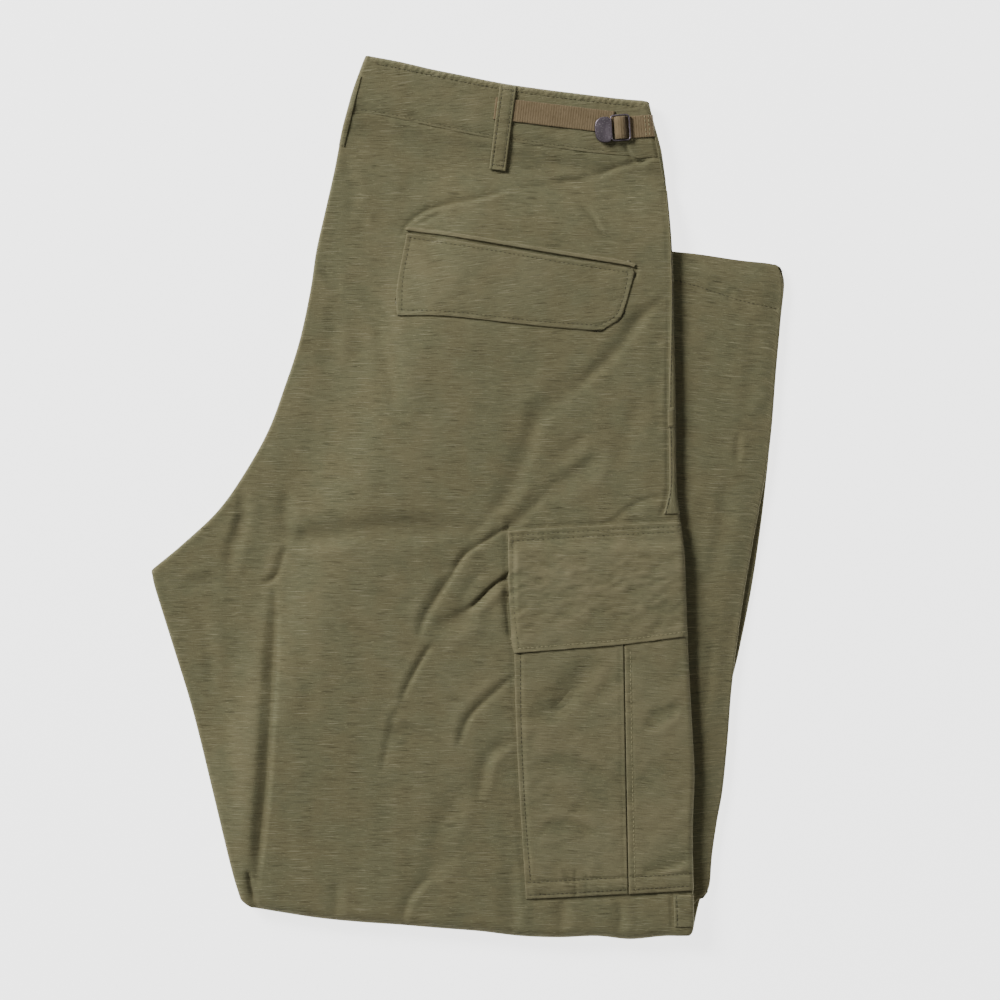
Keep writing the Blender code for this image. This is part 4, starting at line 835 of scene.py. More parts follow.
def edge_between(edge, low, high, count, out):
    """Points of an upright edge from one height to another, moved along X."""
    rows = np.array(edge)
    y = np.linspace(low, high, count)
    return list(zip(np.interp(y, rows[:, 1], rows[:, 0]) + out, y))


def side_between(low, high):
    """The panel's side edge from one height to another, a hair outside it."""
    return edge_between(SIDE_EDGE, low, high, 9, OUTSET)


# %% [markdown]
# The waistband is a long strip folded in four plies. Its top edge is turned over the seam allowance and
# overstitched, so it is gathered into short ribs like a rope. Below the middle the band lies smooth.

# %% The waistband
def rope_ribs(x, y):
    """Ribs across the band's top edge, 4 mm apart and uneven, times exp(-((depth - 1.4) / 3.8)^2)."""
    depth = below_waist(x, y)
    along = x + 0.6 * depth + 1.6 * soft_noise(x / 9.0, 0 * x + 0.5, 25)
    ribs = np.abs(np.sin(along * math.pi / 4.1)) ** 0.6 - 0.6
    ribs = ribs * (0.8 + 0.5 * soft_noise(x / 13.0, 0 * x + 2.5, 22))
    ribs = ribs + 0.3 * soft_noise(x / 2.4, depth / 5.0, 21)
    return 1.15 * ribs * np.exp(-((depth - 1.4) / 3.8) ** 2)


def band_waves(x, y):
    """Slow waves and soft dents of the band's thick plies."""
    return 0.35 * swell(x, y, 80, 34, 15, 23) + 0.16 * swell(x, y, 15, 20, 7, 24)


def band_thin(x, y):
    """The band is pressed thin at its seam: 1.05 mm lower there, rising over 9 mm."""
    return -1.05 * smooth_step(1.0 - (BAND_DEPTH - below_waist(x, y)) / 9.0)


BAND_TOP = [(x, y + OUTSET) for x, y in WAIST_EDGE]
BAND_BACK = edge_between(BACK_EDGE, edge_y(-94.0, WAIST_EDGE) - BAND_DEPTH, 317.2, 7, -OUTSET)
BAND_SIDE = side_between(edge_y(140.0, WAIST_EDGE) - BAND_DEPTH, 285.0)
BAND_BOTTOM = [BAND_BACK[0]] + BAND_SEAM[1:-1] + [BAND_SIDE[0]]
BAND_STITCHES = (
    ([(x, y + 2.2) for x, y in [(-84.0, edge_y(-84.0, WAIST_EDGE) - BAND_DEPTH)] + BAND_SEAM[1:-1]],
     0.20, 1.0, 0.22, 7.0, 4.0),
    ([(x, edge_y(x, WAIST_EDGE) - 4.6) for x in (-66, -30, 10, 50, 90, 122)], 0.40, 1.1, 0.30, 5.0, 4.0),
    (((134.0, 261), (134.4, 259), (135.6, 252), (137.8, 243)), 1.2, 0.9, 0.2, 8.0, 4.0),
)
band, band_face, plan = sewn_piece("waistband_right", (BAND_BOTTOM, BAND_SIDE, BAND_TOP, BAND_BACK), 0.1,
                                   BAND, 1.15, wrap=("side", "top", "back"),
                                   relief=(rope_ribs, band_waves, BAND_STITCHES), turn=-6.0,
                                   offset=(400, 90), soft=0.3, shape=band_thin)
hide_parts("right_waistband")
cut_piece(band, plan)

# %% [markdown]
# The seat pocket has a slanted opening with a thin lip, and a flap of two plies over it. The flap was sewn
# inside out and turned, so its edge is full, and the topstitching beside it makes a shallow channel.

# %% Seat pocket: lip and flap
FLAP_TOP = ((-43.6, 190.4), (23.4, 179.6), (70.0, 171.6), (117.0, 164.6))
FLAP_BOTTOM = ((-50.8, 131.0), (-44.0, 130.8), (-12.0, 130.0), (46.4, 123.6), (90.0, 120.0), (99.0, 121.4))
FLAP_SIDE = ((99.0, 121.4), (109.6, 128.6), (114.0, 139.0), (117.4, 151.0), (119.8, 161.0), (117.0, 164.6))
FLAP_BACK = ((-50.8, 131.0), (-51.4, 143.0), (-50.4, 155.6), (-47.2, 173.0), (-43.6, 190.4))
FLAP_ROWS = (
    (((-47.6, 135.0), (-12, 133.6), (46.4, 127.2), (95.0, 123.6)), 0.30, 1.0, 0.16, 7.0, 4.0),
    (((-47.4, 134), (-46.8, 155), (-43.8, 173), (-40.8, 188)), 0.30, 1.0, 0.16, 7.0, 4.0),
    (((95.0, 123.6), (106.2, 130.6), (110.6, 140), (113.6, 151), (115.4, 163)), 0.30, 1.0, 0.16, 7.0, 4.0),
    (((-43, 187.4), (23.4, 176.6), (70.0, 168.6), (115, 161.8)), 0.26, 1.0, 0.18, 6.0, 4.0),
)


def flap_waves(x, y):
    """The flap's slow waves, and two dimples where its top corners are tacked."""
    dimples = 0.8 * np.exp(-((x + 29) / 11) ** 2 - ((y - 185) / 3.4) ** 2)
    dimples += 0.7 * np.exp(-((x - 103) / 9) ** 2 - ((y - 165) / 3.2) ** 2)
    return 0.30 * swell(x, y, 65, 60, 26, 31) + 0.14 * swell(x, y, 40, 16, 9, 32) - dimples


flap, flap_face, plan = sewn_piece("seat_pocket_flap", (FLAP_BOTTOM, FLAP_SIDE, FLAP_TOP, FLAP_BACK), 0.15,
                                   SEAT_FLAP, 1.05, relief=(flap_waves, FLAP_ROWS), turn=-7.0,
                                   offset=(30, 210), pale=0.1)
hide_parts("back_pocket_flap")
LIP_EDGES = (((-43.8, 192.0), (-20.0, 189.0), (23.4, 181.9), (70.0, 174.0), (110.0, 167.6), (119.6, 165.6)),
             ((119.6, 165.6), (121.0, 167.6)),
             ((-44.6, 194.4), (-20.0, 192.0), (23.4, 184.9), (70.0, 177.0), (111.0, 170.6), (121.0, 167.6)),
             ((-43.8, 192.0), (-44.6, 194.4)))
# The lip's pale value paints it lighter, a painted highlight along the raised lip.
lip, _, _ = sewn_piece("seat_pocket_lip", LIP_EDGES, 0.05, LIP, 0.8, turn=-7.0, offset=(300, 330),
                              soft=0.6, pale=0.3)
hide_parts("back_pocket_lip")
cut_piece(flap, plan)

# %% [markdown]
# The leg pocket is a bag of its own with folded bellows, laid on the thigh over the side seam. A pleat
# parts it in two. Its hems are stiff with plies, and the middle is crinkled where the bag is slack.

# %% Leg pocket
def pocket_crinkle(x, y):
    """Slack cloth: slanted wrinkles in three sizes, calmer near the hem at the foot."""
    calm = smooth_step((y + 276.0) / 14.0)
    return calm * (0.34 * swell(x, y, 38, 34, 12, 41) + 0.17 * swell(x, y, 55, 14, 5.5, 42)
                   + 0.10 * swell(x, y, -20, 9, 5, 43))


POCKET_DENTS = (
    ("under_flap", 1.6, 8.0, 0.2, 0.3, 0.0, ((100, -116), (88, -124), (78, -133), (65, -150), (42, -162))),
    ("under_flap_low", 0.7, 4.5, -0.2, -0.2, 0.0, ((80, -136), (70, -148), (58, -155))),
    ("front_top", 0.9, 5.0, 0.0, 0.5, 0.0, ((154, -148), (140, -156), (126, -168))),
    ("front_foot", 0.9, 4.0, 0.4, 0.5, 0.0, ((162, -260), (144, -265), (124, -270))),
    ("foot", 0.7, 5.0, 0.0, 0.4, 0.0, ((50, -240), (70, -236), (96, -242))),
    ("middle", 0.6, 6.0, 0.0, 0.3, 0.0, ((44, -196), (68, -190), (104, -204))),
)
POCKET_ROWS = (
    (((38, -110), (38.6, -165), (41.2, -221), (45.2, -275)), 0.35, 1.0, 0.26, 7.5, 5.0),
    (((43, -276.6), (78.8, -274.6), (117, -272.6)), 0.8, 1.0, 0.5, 8.5, 5.5),
    (((44, -285.6), (78.8, -283.8), (115, -281.6)), 0.35, 0.9, 0.26, 8.0, 3.5),
    (((109.4, -110), (110.8, -193), (112.8, -283)), 0.30, 0.9, 0.22, 8.0, 4.0),
    (((77.5, -269), (77.8, -286)), 0.6, 1.0, 0.2, 5.0, 3.0),
    (((85.5, -271), (85.8, -286)), 0.4, 1.0, 0.2, 5.0, 3.0),
)
FRONT_ROWS = (
    (((117, -272.6), (140, -271.4), (161, -270)), 0.8, 1.0, 0.5, 8.5, 5.5),
    (((118, -281.6), (161, -278.8)), 0.35, 0.9, 0.26, 8.0, 3.5),
    (((117.0, -110), (118.4, -193), (120.6, -283)), 0.34, 0.9, 0.22, 7.0, 4.0),
)


def pocket_thin(x, y):
    """The bag is pressed thin where its hem and its back edge are sewn down."""
    foot = smooth_step(1.0 - (y + 287.5) / 9.0)
    return -1.15 * foot - 0.7 * smooth_step(1.0 - (x - 34.0 - 0.0386 * (-62.0 - y)) / 5.0)


def pocket_relief(x, y):
    """The pocket's own dents and crinkles."""
    return crease_relief(x, y, POCKET_DENTS)[0] + pocket_crinkle(x, y)


BODY_EDGES = (((42.1, -288.7), (78.8, -287.0), (115.4, -285.0)),
              ((115.4, -285.0), (113.6, -193.3), (112.2, -106.9), (111.4, -62.0)),
              ((34.5, -62.0), (74.0, -62.0), (111.4, -62.0)),
              ((42.1, -288.7), (37.8, -220.7), (35.0, -165.0), (33.6, -104.0), (34.5, -62.0)))
pocket, pocket_face, plan = sewn_piece("leg_pocket_back", BODY_EDGES, 0.15, POCKET, 1.15,
                                       relief=(pocket_relief, POCKET_ROWS), turn=3.0, offset=(120, 700),
                                       soft=0.4, shape=pocket_thin, pale=0.16)
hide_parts("cargo_pocket_back")
cut_piece(pocket, plan)

FRONT_EDGES = (((115.9, -285.2), (140.0, -283.8), (162.6, -282.4)), side_between(-282.4, -62.0),
               ((111.9, -62.0), (156.8, -62.0)),
               ((115.9, -285.2), (114.1, -193.3), (112.7, -106.9), (111.9, -62.0)))
front, front_face, plan = sewn_piece("leg_pocket_front", FRONT_EDGES, 0.15, POCKET, 1.15, wrap=("side",),
                                     relief=(pocket_relief, FRONT_ROWS), turn=5.0, offset=(260, 700),
                                     soft=0.4, shape=pocket_thin, pale=0.16)
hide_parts("cargo_pocket_front")
cut_piece(front, plan)

# %% [markdown]
# The flap over the leg pocket is sewn above it with two rows. It drops from the panel over the pocket's
# edge, and its left side is drawn into short puckers by the stitching.

# %% Leg pocket's flap
def on_pocket(x, y):
    """What the flap lies on: the panel near its seam, then the pocket's top over a soft step."""
    step = smooth_step((-30.0 - y) / 9.0) * smooth_step((x - 31.5) / 5.0)
    return 0.15 + step * (POCKET - 0.1)


def leg_flap_waves(x, y):
    """Slow waves down the flap and small crinkles in its middle."""
    across = 0.30 * swell(x, y, 20, 60, 24, 51) + 0.24 * swell(x, y, 45, 15, 6, 52)
    middle = smooth_step((y + 104.0) / 20.0) * smooth_step((-32.0 - y) / 16.0)
    return across + middle * (0.26 * swell(x, y, -25, 9, 4, 53) + 0.34 * swell(x, y, 8, 6.0, 3.0, 54))


LEG_FLAP_EDGES = (((33.5, -112.0), (72.0, -109.0), (113.4, -105.5), (158.2, -99.6)),
                  side_between(-99.6, -17.4),
                  ((29.2, -24.1), (90.0, -20.4), (153.6, -17.4)),
                  ((33.5, -112.0), (31.6, -104.0), (30.6, -85.0), (29.4, -57.2), (29.2, -24.1)))
LEG_FLAP_ROWS = (
    (((31, -27.4), (90, -23.8), (152, -20.8)), 0.45, 0.9, 0.34, 7.0, 4.0),
    (((31, -31.4), (90, -27.8), (152, -24.6)), 0.45, 0.9, 0.34, 7.0, 4.0),
    (((32.6, -27), (32.8, -57), (34.0, -85), (36.8, -108)), 0.45, 1.0, 0.50, 7.5, 6.0),
    (((36, -108.6), (72, -105.6), (113.4, -102.0), (157, -96.2)), 0.34, 1.0, 0.22, 8.0, 4.0),
)
leg_flap, leg_flap_face, plan = sewn_piece("leg_pocket_flap", LEG_FLAP_EDGES, on_pocket, FLAP, 1.05,
                                           wrap=("side",), relief=(leg_flap_waves, LEG_FLAP_ROWS), turn=2.0,
                                           offset=(160, 520), soft=0.6, pale=0.16)
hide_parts("cargo_flap")
cut_piece(leg_flap, plan)

# %% [markdown]
# The side seam is felled: the front panel's edge is folded over the back's and stitched flat, which leaves
# a narrow double strip along the rim. The belt loops are narrow strips too, tacked at both ends.

# %% Side seam and loops
def strip_edges(a, b, width):
    """Four edges of a straight strip from a (low end) to b (high end)."""
    a, b = np.array(a, float), np.array(b, float)
    d = (b - a) / np.linalg.norm(b - a)
    n = np.array([d[1], -d[0]]) * width / 2
    return (a - n, a + n), (a + n, b + n), (b - n, b + n), (a - n, b - n)


UPPER_FELL = (((141.0, -12.0), (152.9, -12.0)), side_between(-12.0, 221.0), ((143.6, 221.0), (143.9, 221.0)),
              ((141.0, -12.0), (144.6, 3.0), (145.2, 12.0), (144.6, 70.0), (146.2, 142.0), (145.2, 182.0),
               (142.6, 221.0)))
LOWER_FELL = (((148.8, -308.6), (162.8, -308.6)), side_between(-308.6, -285.6), ((147.9, -285.6),
                                                                                 (162.9, -285.6)),
              ((148.8, -308.6), (147.9, -285.6)))
FELL_ROWS = (
    (((142.4, -12), (146.6, 12), (146.0, 70), (147.4, 142), (146.4, 182),
      (143.6, 219)), 0.2, 0.7, 0.22, 8.5, 4.0),
    (((151.0, -308), (150.1, -286)), 0.3, 0.8, 0.6, 6.5, 5.0),
)
# pale paints the raised fell lighter, a painted highlight.
upper_fell, upper_fell_face, _ = sewn_piece("side_seam_upper", UPPER_FELL, 0.05, FELL, 1.0, wrap=("side",),
                                            relief=(FELL_ROWS,), turn=84.0, offset=(20, 20), pale=0.14)
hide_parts("right_side_seam_upper")
lower_fell, lower_fell_face, _ = sewn_piece("side_seam_lower", LOWER_FELL, 0.05, FELL, 0.8, wrap=("side",),
                                            relief=(FELL_ROWS,), turn=6.0, offset=(90, 20), pale=0.08)
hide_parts("right_side_seam_lower")


# %% [markdown]
# A belt loop is a strip with folded edges, tacked over the band. What it lies on changes on its way.

# %% Belt loops
def on_webbing(x, y):
    """Height over the panel of the back belt loop: over the band, and over the webbing across it."""
    off = np.abs(y - (276.3 - 0.1164 * (x - 51.0)) - 2.2)
    return (0.1 + BAND + 0.1 + WEBBING * smooth_step((14.0 - off) / 6.0)
            + 0.25 * smooth_step((24.0 - off) / 10.0))


def on_band(x, y):
    """Height over the panel of what lies on the band, and of its end that hangs just below it."""
    return 0.1 + BAND * smooth_step((BAND_DEPTH - below_waist(x, y) + 3.0) / 6.0) + 0.1


def loop_ridges(centre_a, centre_b):
    """A middle raised by 0.15 mm and two stitched channels, 0.32 mm deep and 3.9 mm from it."""
    def relief(x, y):
        d = from_path(x, y, [centre_a, centre_b])[0]
        return 0.15 * np.exp(-(d / 2.4) ** 2) - 0.32 * np.exp(-((np.abs(d) - 3.9) / 0.7) ** 2)
    return relief


LOOPS = (
    # name, node, low end, high end, width, what it lies on, sides that wrap
    ("belt_loop_of_back", "belt_loop_back", (21.6, 235.5), (29.4, 297.2), 12.2, on_webbing, ()),
    ("belt_loop_of_centre_back", "belt_loop_centre", (-93.6, 254.0), (-81.0, 304.0), 10.0, on_band,
     ("back",)),
    ("belt_loop_of_side", "belt_loop_side", (146.0, 228.0), (138.8, 264.0), 10.0, on_band, ("side",)),
    ("side_seam_loop", "seam_loop", (146.8, 50.5), (146.6, 64.5), 5.6, 0.95, ("side",)),
)
LOOP_FACES, narrow_loops = {}, []
for name, node, low, high, width, under, wrap in LOOPS:
    bottom, side, top, back = strip_edges(low, high, width)
    if wrap == ("side",):
        side = side_between(low[1], high[1])
        bottom, top = (bottom[0], side[0]), (top[0], side[-1])
    if wrap == ("back",):
        back = edge_between(BACK_EDGE, low[1], high[1], 5, -OUTSET)
        bottom, top = (back[0], bottom[1]), (back[-1], top[1])
    piece, LOOP_FACES[node], plan = sewn_piece(name, (bottom, side, top, back), under, LOOP, 0.7, wrap=wrap,
                                               relief=(loop_ridges(low, high),), turn=-8.0, offset=(60, 400))
    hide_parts(node)
    if wrap:
        narrow_loops.append(piece)
    else:
        cut_piece(piece, plan, slanted=True)
print("loops:", len(LOOPS))

# %% [markdown]
# ## The lower legs
#
# Below the knee each leg is a tube of cloth pressed flat: two plies with a little air, rounded along both
# sides and open at the hem. Its section is a loop, so the grid runs round the tube one way and along it the
# other. Only a strip of the upper one shows, so its points are closer there.

# %% Seams and creases of the legs
LEG_SEAMS = (
    (((146, 157.4), (161, 153.6), (177, 148.6), (196, 142.2), (224, 135.8)), 0.55, 1.3, 0.40, 9.0, 8.0),
    (((150, 172.5), (167, 170.4), (196, 166.0), (222, 161.0)), 0.25, 1.2, 0.25, 7.0, 4.0),
)
LEG_CREASES = (
    ("strip_nick", 1.0, 2.6, 0.0, 0.5, 0.4, ((195.5, 47), (194.8, 42), (194.6, 29), (195.5, 24))),
    ("hem_nick", 1.1, 3.0, 0.4, 0.6, 0.4, ((172, 160), (180, 156), (188, 151), (197, 145))),
    ("strip_mid", 0.8, 6.0, 0.0, 0.4, 0.0, ((176, -60), (184, -20), (188, 20))),
    ("strip_low", 0.7, 4.0, 0.0, 0.4, 0.0, ((170, -160), (174, -130), (177, -100))),
    ("strip_foot", 1.3, 3.0, 0.0, 0.7, 0.5, ((172, -262), (167, -272), (163, -282), (161, -292))),
    ("strip_top", 0.7, 7.0, 0.0, 0.4, 0.0, ((206, 128), (204, 90), (200, 60))),
)


UNDER_ROWS = (
    # name, depth, half_width, lean, path; from below each is a trough, as the cloth is lifted off the table
    ("under_seat", 0.60, 6.0, 0.3, ((-96, 214), (-84, 206), (-62, 202), (-36, 206))),
    ("under_seat_low", 0.45, 7.0, 0.0, ((-104, 160), (-92, 140), (-84, 112))),
    ("under_hip", 0.50, 5.5, -0.3, ((128, 226), (108, 222), (84, 224))),
    ("under_band", 0.50, 6.0, 0.0, ((-20, 246), (4, 240), (30, 243))),
    ("under_crotch", 0.60, 6.0, 0.4, ((-170, 4), (-164, -18), (-168, -44), (-176, -62))),
    ("under_point", 0.50, 6.5, 0.0, ((-206, -62), (-190, -70), (-176, -86))),
    ("under_inseam", 0.60, 7.0, 0.3, ((-190, -110), (-184, -150), (-174, -196))),
    ("under_leg", 0.60, 7.0, 0.4, ((-120, -220), (-96, -160), (-66, -96), (-30, -40))),
    ("under_knee_a", 0.55, 6.0, 0.0, ((-60, -292), (-54, -270), (-40, -246))),
    ("under_knee_b", 0.50, 7.0, 0.0, ((40, -298), (46, -276), (42, -250))),
    ("under_knee_c", 0.55, 6.0, 0.0, ((112, -300), (104, -280), (108, -258))),
    ("under_shin", 0.60, 8.0, -0.3, ((150, -180), (118, -150), (96, -104), (84, -60))),
    ("under_shin_top", 0.50, 7.0, 0.0, ((60, -10), (90, 14), (104, 46), (126, 70))),
    ("under_calf", 0.50, 6.5, 0.3, ((-10, 10), (20, -16), (52, -28))),
    ("under_hem", 0.55, 6.0, 0.0, ((60, 120), (82, 96), (120, 88))),
    ("under_hem_far", 0.45, 7.0, 0.0, ((160, 130), (172, 100), (186, 84))),
)


UNDER_CREASES = [(*row[:4], 0.0, 0.0, row[4]) for row in UNDER_ROWS]     # no ridge and no pull
FINE_FROM = 0.62                # share of a leg's width past which the strip beside the stack shows


def lifted(x, y):
    """How far the creases lift the underside off the table: 0.6 mm at most, since layers lie on it."""
    return np.clip(-crease_relief(x, y, UNDER_CREASES)[0], 0.0, 0.6)


# %% [markdown]
# The tube's section is two plies joined by quarter circles, and its grid closes on itself all round.

# %% The tube
def leg_height(x, y, floor, to_rim, shown):
    """Top ply: level under the stack; where it shows it swells, with a step up at the turned hem."""
    z = np.full(np.shape(x), floor + LEG_THICK)
    if not shown:
        return z
    clear = smooth_step((to_upper(x, y) - 2.0) / 9.0)
    rim = -to_rim(x, y)
    turned = smooth_step((y - edge_y(x, LEFT_LEG_HEM) + HEM_DEPTH + 3.0) / 3.0 + 0.5)
    relief = crease_relief(x, y, LEG_CREASES)[0] + seam_relief(x, y, LEG_SEAMS)
    relief += 0.45 * swell(x, y, 78, 60, 16, 61) + 0.2 * swell(x, y, 50, 22, 9, 62)
    return z + clear * (1.3 * smooth_step((rim - 1.4) / 14.0) + 0.5 * turned
                        + smooth_step(rim / 6.0) * relief)


def leg_tube(name, node, outer_edge, hem, floor, shown, steps):
    """A tube between its two sides: top ply one way and bottom ply back, r = half the pressed thickness.

    Both plies are at mid-height where they meet, and there each follows a quarter circle.
    """
    knee = [LEG_INNER[0]] + KNEE_INSIDE + [outer_edge[0]]
    lines = four_edges(knee, outer_edge, hem, LEG_INNER)
    roll = LEG_THICK / 2
    fine, coarse, beneath, along = steps
    rise = np.array([0.0, 0.04, 0.16, 0.36, 0.64]) * roll / LEG_WIDE
    edge = roll / LEG_WIDE
    u = np.concatenate([rise, np.linspace(edge, FINE_FROM, coarse, endpoint=False),
                        np.linspace(FINE_FROM, 1.0 - edge, fine), 1.0 - rise[::-1]])
    back = np.concatenate([1.0 - rise[1:], np.linspace(1.0 - edge, edge, beneath), rise[:0:-1]])
    back = back if (len(u) + len(back)) % 2 == 0 else np.delete(back, len(back) // 2)
    v = spacing(LEG_LONG, along, 1.0)
    top, low = patch(*lines, u, v), patch(*lines, back, v)
    sides = [np.abs(from_path(part[..., 0], part[..., 1], np.vstack([lines[k][::4], lines[k][-1:]]))[0])
             for part in (top, low) for k in (1, 3)]
    near = [np.minimum(sides[0], sides[1]), np.minimum(sides[2], sides[3])]
    fall = [roll_drop(part, roll) for part in near]
    z_top = leg_height(top[..., 0], top[..., 1], floor, to_legs, shown) - fall[0]
    z_low = floor + fall[1] + (0.0 if shown else lifted(low[..., 0], low[..., 1]))
    outer = np.concatenate([np.dstack([top, z_top]), np.dstack([low, z_low])])
    n = unit(np.cross(np.roll(outer, -1, axis=0) - np.roll(outer, 1, axis=0), np.gradient(outer, axis=1)))
    wall = PLY + 0.25 * smooth_step((v - 0.955) / 0.02)[None, :, None] * (1.0 if shown else 0.0)
    inner = (outer - wall * n)[::2, ::2]
    k = numbers(*outer.shape[:2])
    m = k.size + numbers(*inner.shape[:2])
    quads = np.vstack([tube_quads(k.T), tube_quads(m.T)[:, ::-1]])
    tris = np.vstack([step_down(k[:, 0], m[:, 0]), step_down(k[:, -1], m[:, -1])[:, ::-1]])
    run = np.concatenate([u * LEG_WIDE, 2 * LEG_WIDE - back * LEG_WIDE])
    uv = np.stack(np.broadcast_arrays(run[:, None], v[None] * LEG_LONG), axis=-1)
    uv = uv + (20.0, 1200.0 + 40 * floor)
    flat = np.vstack([uv.reshape(-1, 2), uv[::2, ::2].reshape(-1, 2)])
    hem_wear = np.exp(-np.abs(1.0 - v) * LEG_LONG / 1.5)[None]
    wear_and_shade_values = 0.5 + 0.45 * np.maximum(np.exp(-np.concatenate(near) / 1.5), hem_wear)
    wear_and_shade_values = np.concatenate([wear_and_shade_values.ravel(), wear_and_shade_values[::2, ::2].ravel()])
    piece = fill_mesh(name, np.vstack([outer.reshape(-1, 3), inner.reshape(-1, 3)]), quads, tris, flat, wear_and_shade_values)
    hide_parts(node)
    cut_piece(piece, top, times=2.0)


# %% [markdown]
# The right leg lies on the table and the left one on it. The floor is a plain sheet in the scene, not
# attached to the garment's root.

# %% Floor and both lower legs
def make_floor():
    """A pale sheet of paper under everything, flat all over."""
    half = 4000.0 * MM
    mesh = bpy.data.meshes.new("floor")
    mesh.from_pydata([(-half, -half, 0), (half, -half, 0), (half, half, 0),
    (-half, half, 0)], [], [(0, 1, 2, 3)])
    sheet = placed("floor", mesh)
    return sheet


floor = make_floor()
leg_tube("lower_leg_right", "right_lower_leg", RIGHT_LEG_OUTER, RIGHT_LEG_HEM, 0.0, False, (18, 14, 61, 4.0))
leg_tube("lower_leg_left", "left_lower_leg", LEFT_LEG_OUTER, LEFT_LEG_HEM, LEG_THICK + GAP, True,
         (58, 14, 23, 1.9))

# %% [markdown]
# ## Inside the fold and the underside
#
# From the side the stack shows its layers: the right back's edge, both front panels and the left back's edge,
# turned up. The left back lies on the table and climbs over the lower legs. Both fronts are stand-ins that
# show only their edges: inside the fold they cut into each other by about half a millimetre, and beside the
# deep grooves the right front cuts into the left back.

# %% Layers below the top one
def inset_edges(amounts):
    """The upper outline's four edges moved inwards, each by its own amount (a number or one for each y)."""
    moved = []
    for number, line in enumerate(UPPER_LINES):
        d = unit(np.gradient(line, axis=0))
        left = np.column_stack([-d[:, 1], d[:, 0]]) * (1 if number < 2 else -1)
        amount = amounts[number]
        amount = amount(line[:, 1]) if callable(amount) else np.full(len(line), amount)
        moved.append(line + left * amount[:, None])
    return moved


def centre_seam(y):
    """1 along the centre-back seam and 0 on the inseam below the crotch."""
    return smooth_step((y + 44.0) / 8.0)


def layer(name, amounts, height, rings, step, side, ply, turn, offset):
    """One hidden or underside panel from the outline moved in, at a height given by place."""
    lines = joined_corners(inset_edges(amounts))
    plan = patch(*lines, spacing(PANEL_WIDE, step, 2.4), spacing(PANEL_LONG, step, 2.4))
    x, y = plan[..., 0], plan[..., 1]
    inward = np.maximum(-distance_field(around(lines, 5), 4.0, 2.0)(x, y), 0.0)
    outer = np.dstack([plan, height(x, y, inward)])
    rise = rings(outer.reshape(-1, 3)[rim_loop(*x.shape)])
    wear_and_shade = 0.45 + 0.4 * np.exp(-inward / 1.5)
    return shell(name, outer, two_skirts(rise), ply, side, turn, offset, wear_and_shade), plan


# %% [markdown]
# Each layer has its own rule: the left back rests on what is below, and the fronts fill what is left.

# %% Heights of the layers
def under_height(x, y, inward):
    """Left back, seen from below: the table or the legs, its rim rolled up, with shallow pressed creases."""
    flat = support(x, y)
    free = smooth_step(inward / 12.0) * smooth_step((flat - 0.2) / 2.0) * smooth_step((6.6 - flat) / 2.0)
    waves = 0.5 + 0.5 * swell(x, y, 60, 40, 16, 71)
    return flat + roll_drop(inward, EDGE_ROLL) + 0.4 * waves * free + lifted(x, y)


def under_rise(edge):
    """How far the rolled-up rim goes on upwards: to the other back panel's rim at the centre seam."""
    x, y = edge[:, 0], edge[:, 1]
    at_seam = centre_seam(y) * smooth_step((-60.0 - x) / 8.0)
    seam = stack_height(x, y) - SEAM_DROP - 0.4 - edge[:, 2]
    return np.maximum((1 - at_seam) * (EDGE_DROP - EDGE_ROLL) + at_seam * seam, 0.3)


def left_front_height(x, y, inward):
    """Left front: on the left back, climbing over its rolled rim at the edges."""
    climb = 1.75 * smooth_step((8.0 - inward) / 5.0)
    waves = 0.12 * swell(x, y, 70, 30, 12, 72) * smooth_step(inward / 3)
    return support(x, y) + 2 * PLY + 0.4 + climb + waves


def right_front_height(x, y, inward):
    """Right front: lower under the deepest grooves, and up against the top panel's rim at the edges."""
    deep = np.zeros(np.shape(x))
    for _, depth, width, _, _, _, path in CREASES:
        if depth > CREASE_ROOM:
            d = np.abs(from_path(x, y, smooth_line(path, 8.0))[0])
            deep = np.maximum(deep, (depth - CREASE_ROOM + 1.2) * smooth_step(1.0 - (d / width - 2.0) / 3.0))
    field = stack_height(x, y) - 2 * PLY - CREASE_ROOM - deep
    rim = stack_height(x, y) - EDGE_DROP - 0.35
    return np.maximum(field + (rim - field) * smooth_step((9.0 - inward) / 6.0), support(x, y) + 0.9)


def even_rise(amount):
    """The same skirt all round."""
    return lambda edge: np.full(len(edge), amount)


def seam_inset(plain, seam):
    """An inset that is larger along the centre-back seam, where both back panels close the edge."""
    return lambda y: plain + (seam - plain) * centre_seam(y)


# %% [markdown]
# One function lays all three panels. The left waistband is a plain strip that rests on the table.

# %% Three panels and the left waistband
FRONT_PLY = 0.8                 # thickness of each front's shell
left_back, plan = layer("back_cloth_left", (KNEE_CLEAR, 0.0, 0.0, 0.0), under_height, under_rise, 3.2, -1,
                        PLY, 8.0, (700, 90))
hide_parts("left_back_panel")
cut_piece(left_back, plan)
left_front, plan = layer("front_cloth_left", (KNEE_CLEAR, 0.45, 0.6, seam_inset(0.35, 3.2)),
                         left_front_height, even_rise(FRONT_PLY), 6.0, 1, FRONT_PLY, -4.0, (700, 700))
cut_piece(left_front, plan)
right_front, plan = layer("front_cloth_right", (KNEE_CLEAR, 0.2, 0.5, seam_inset(0.6, 3.4)),
                          right_front_height, even_rise(FRONT_PLY), 6.0, 1, FRONT_PLY, -8.0, (1200, 90))
for piece in (left_front, right_front):
    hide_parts("hidden_layers")
cut_piece(right_front, plan)

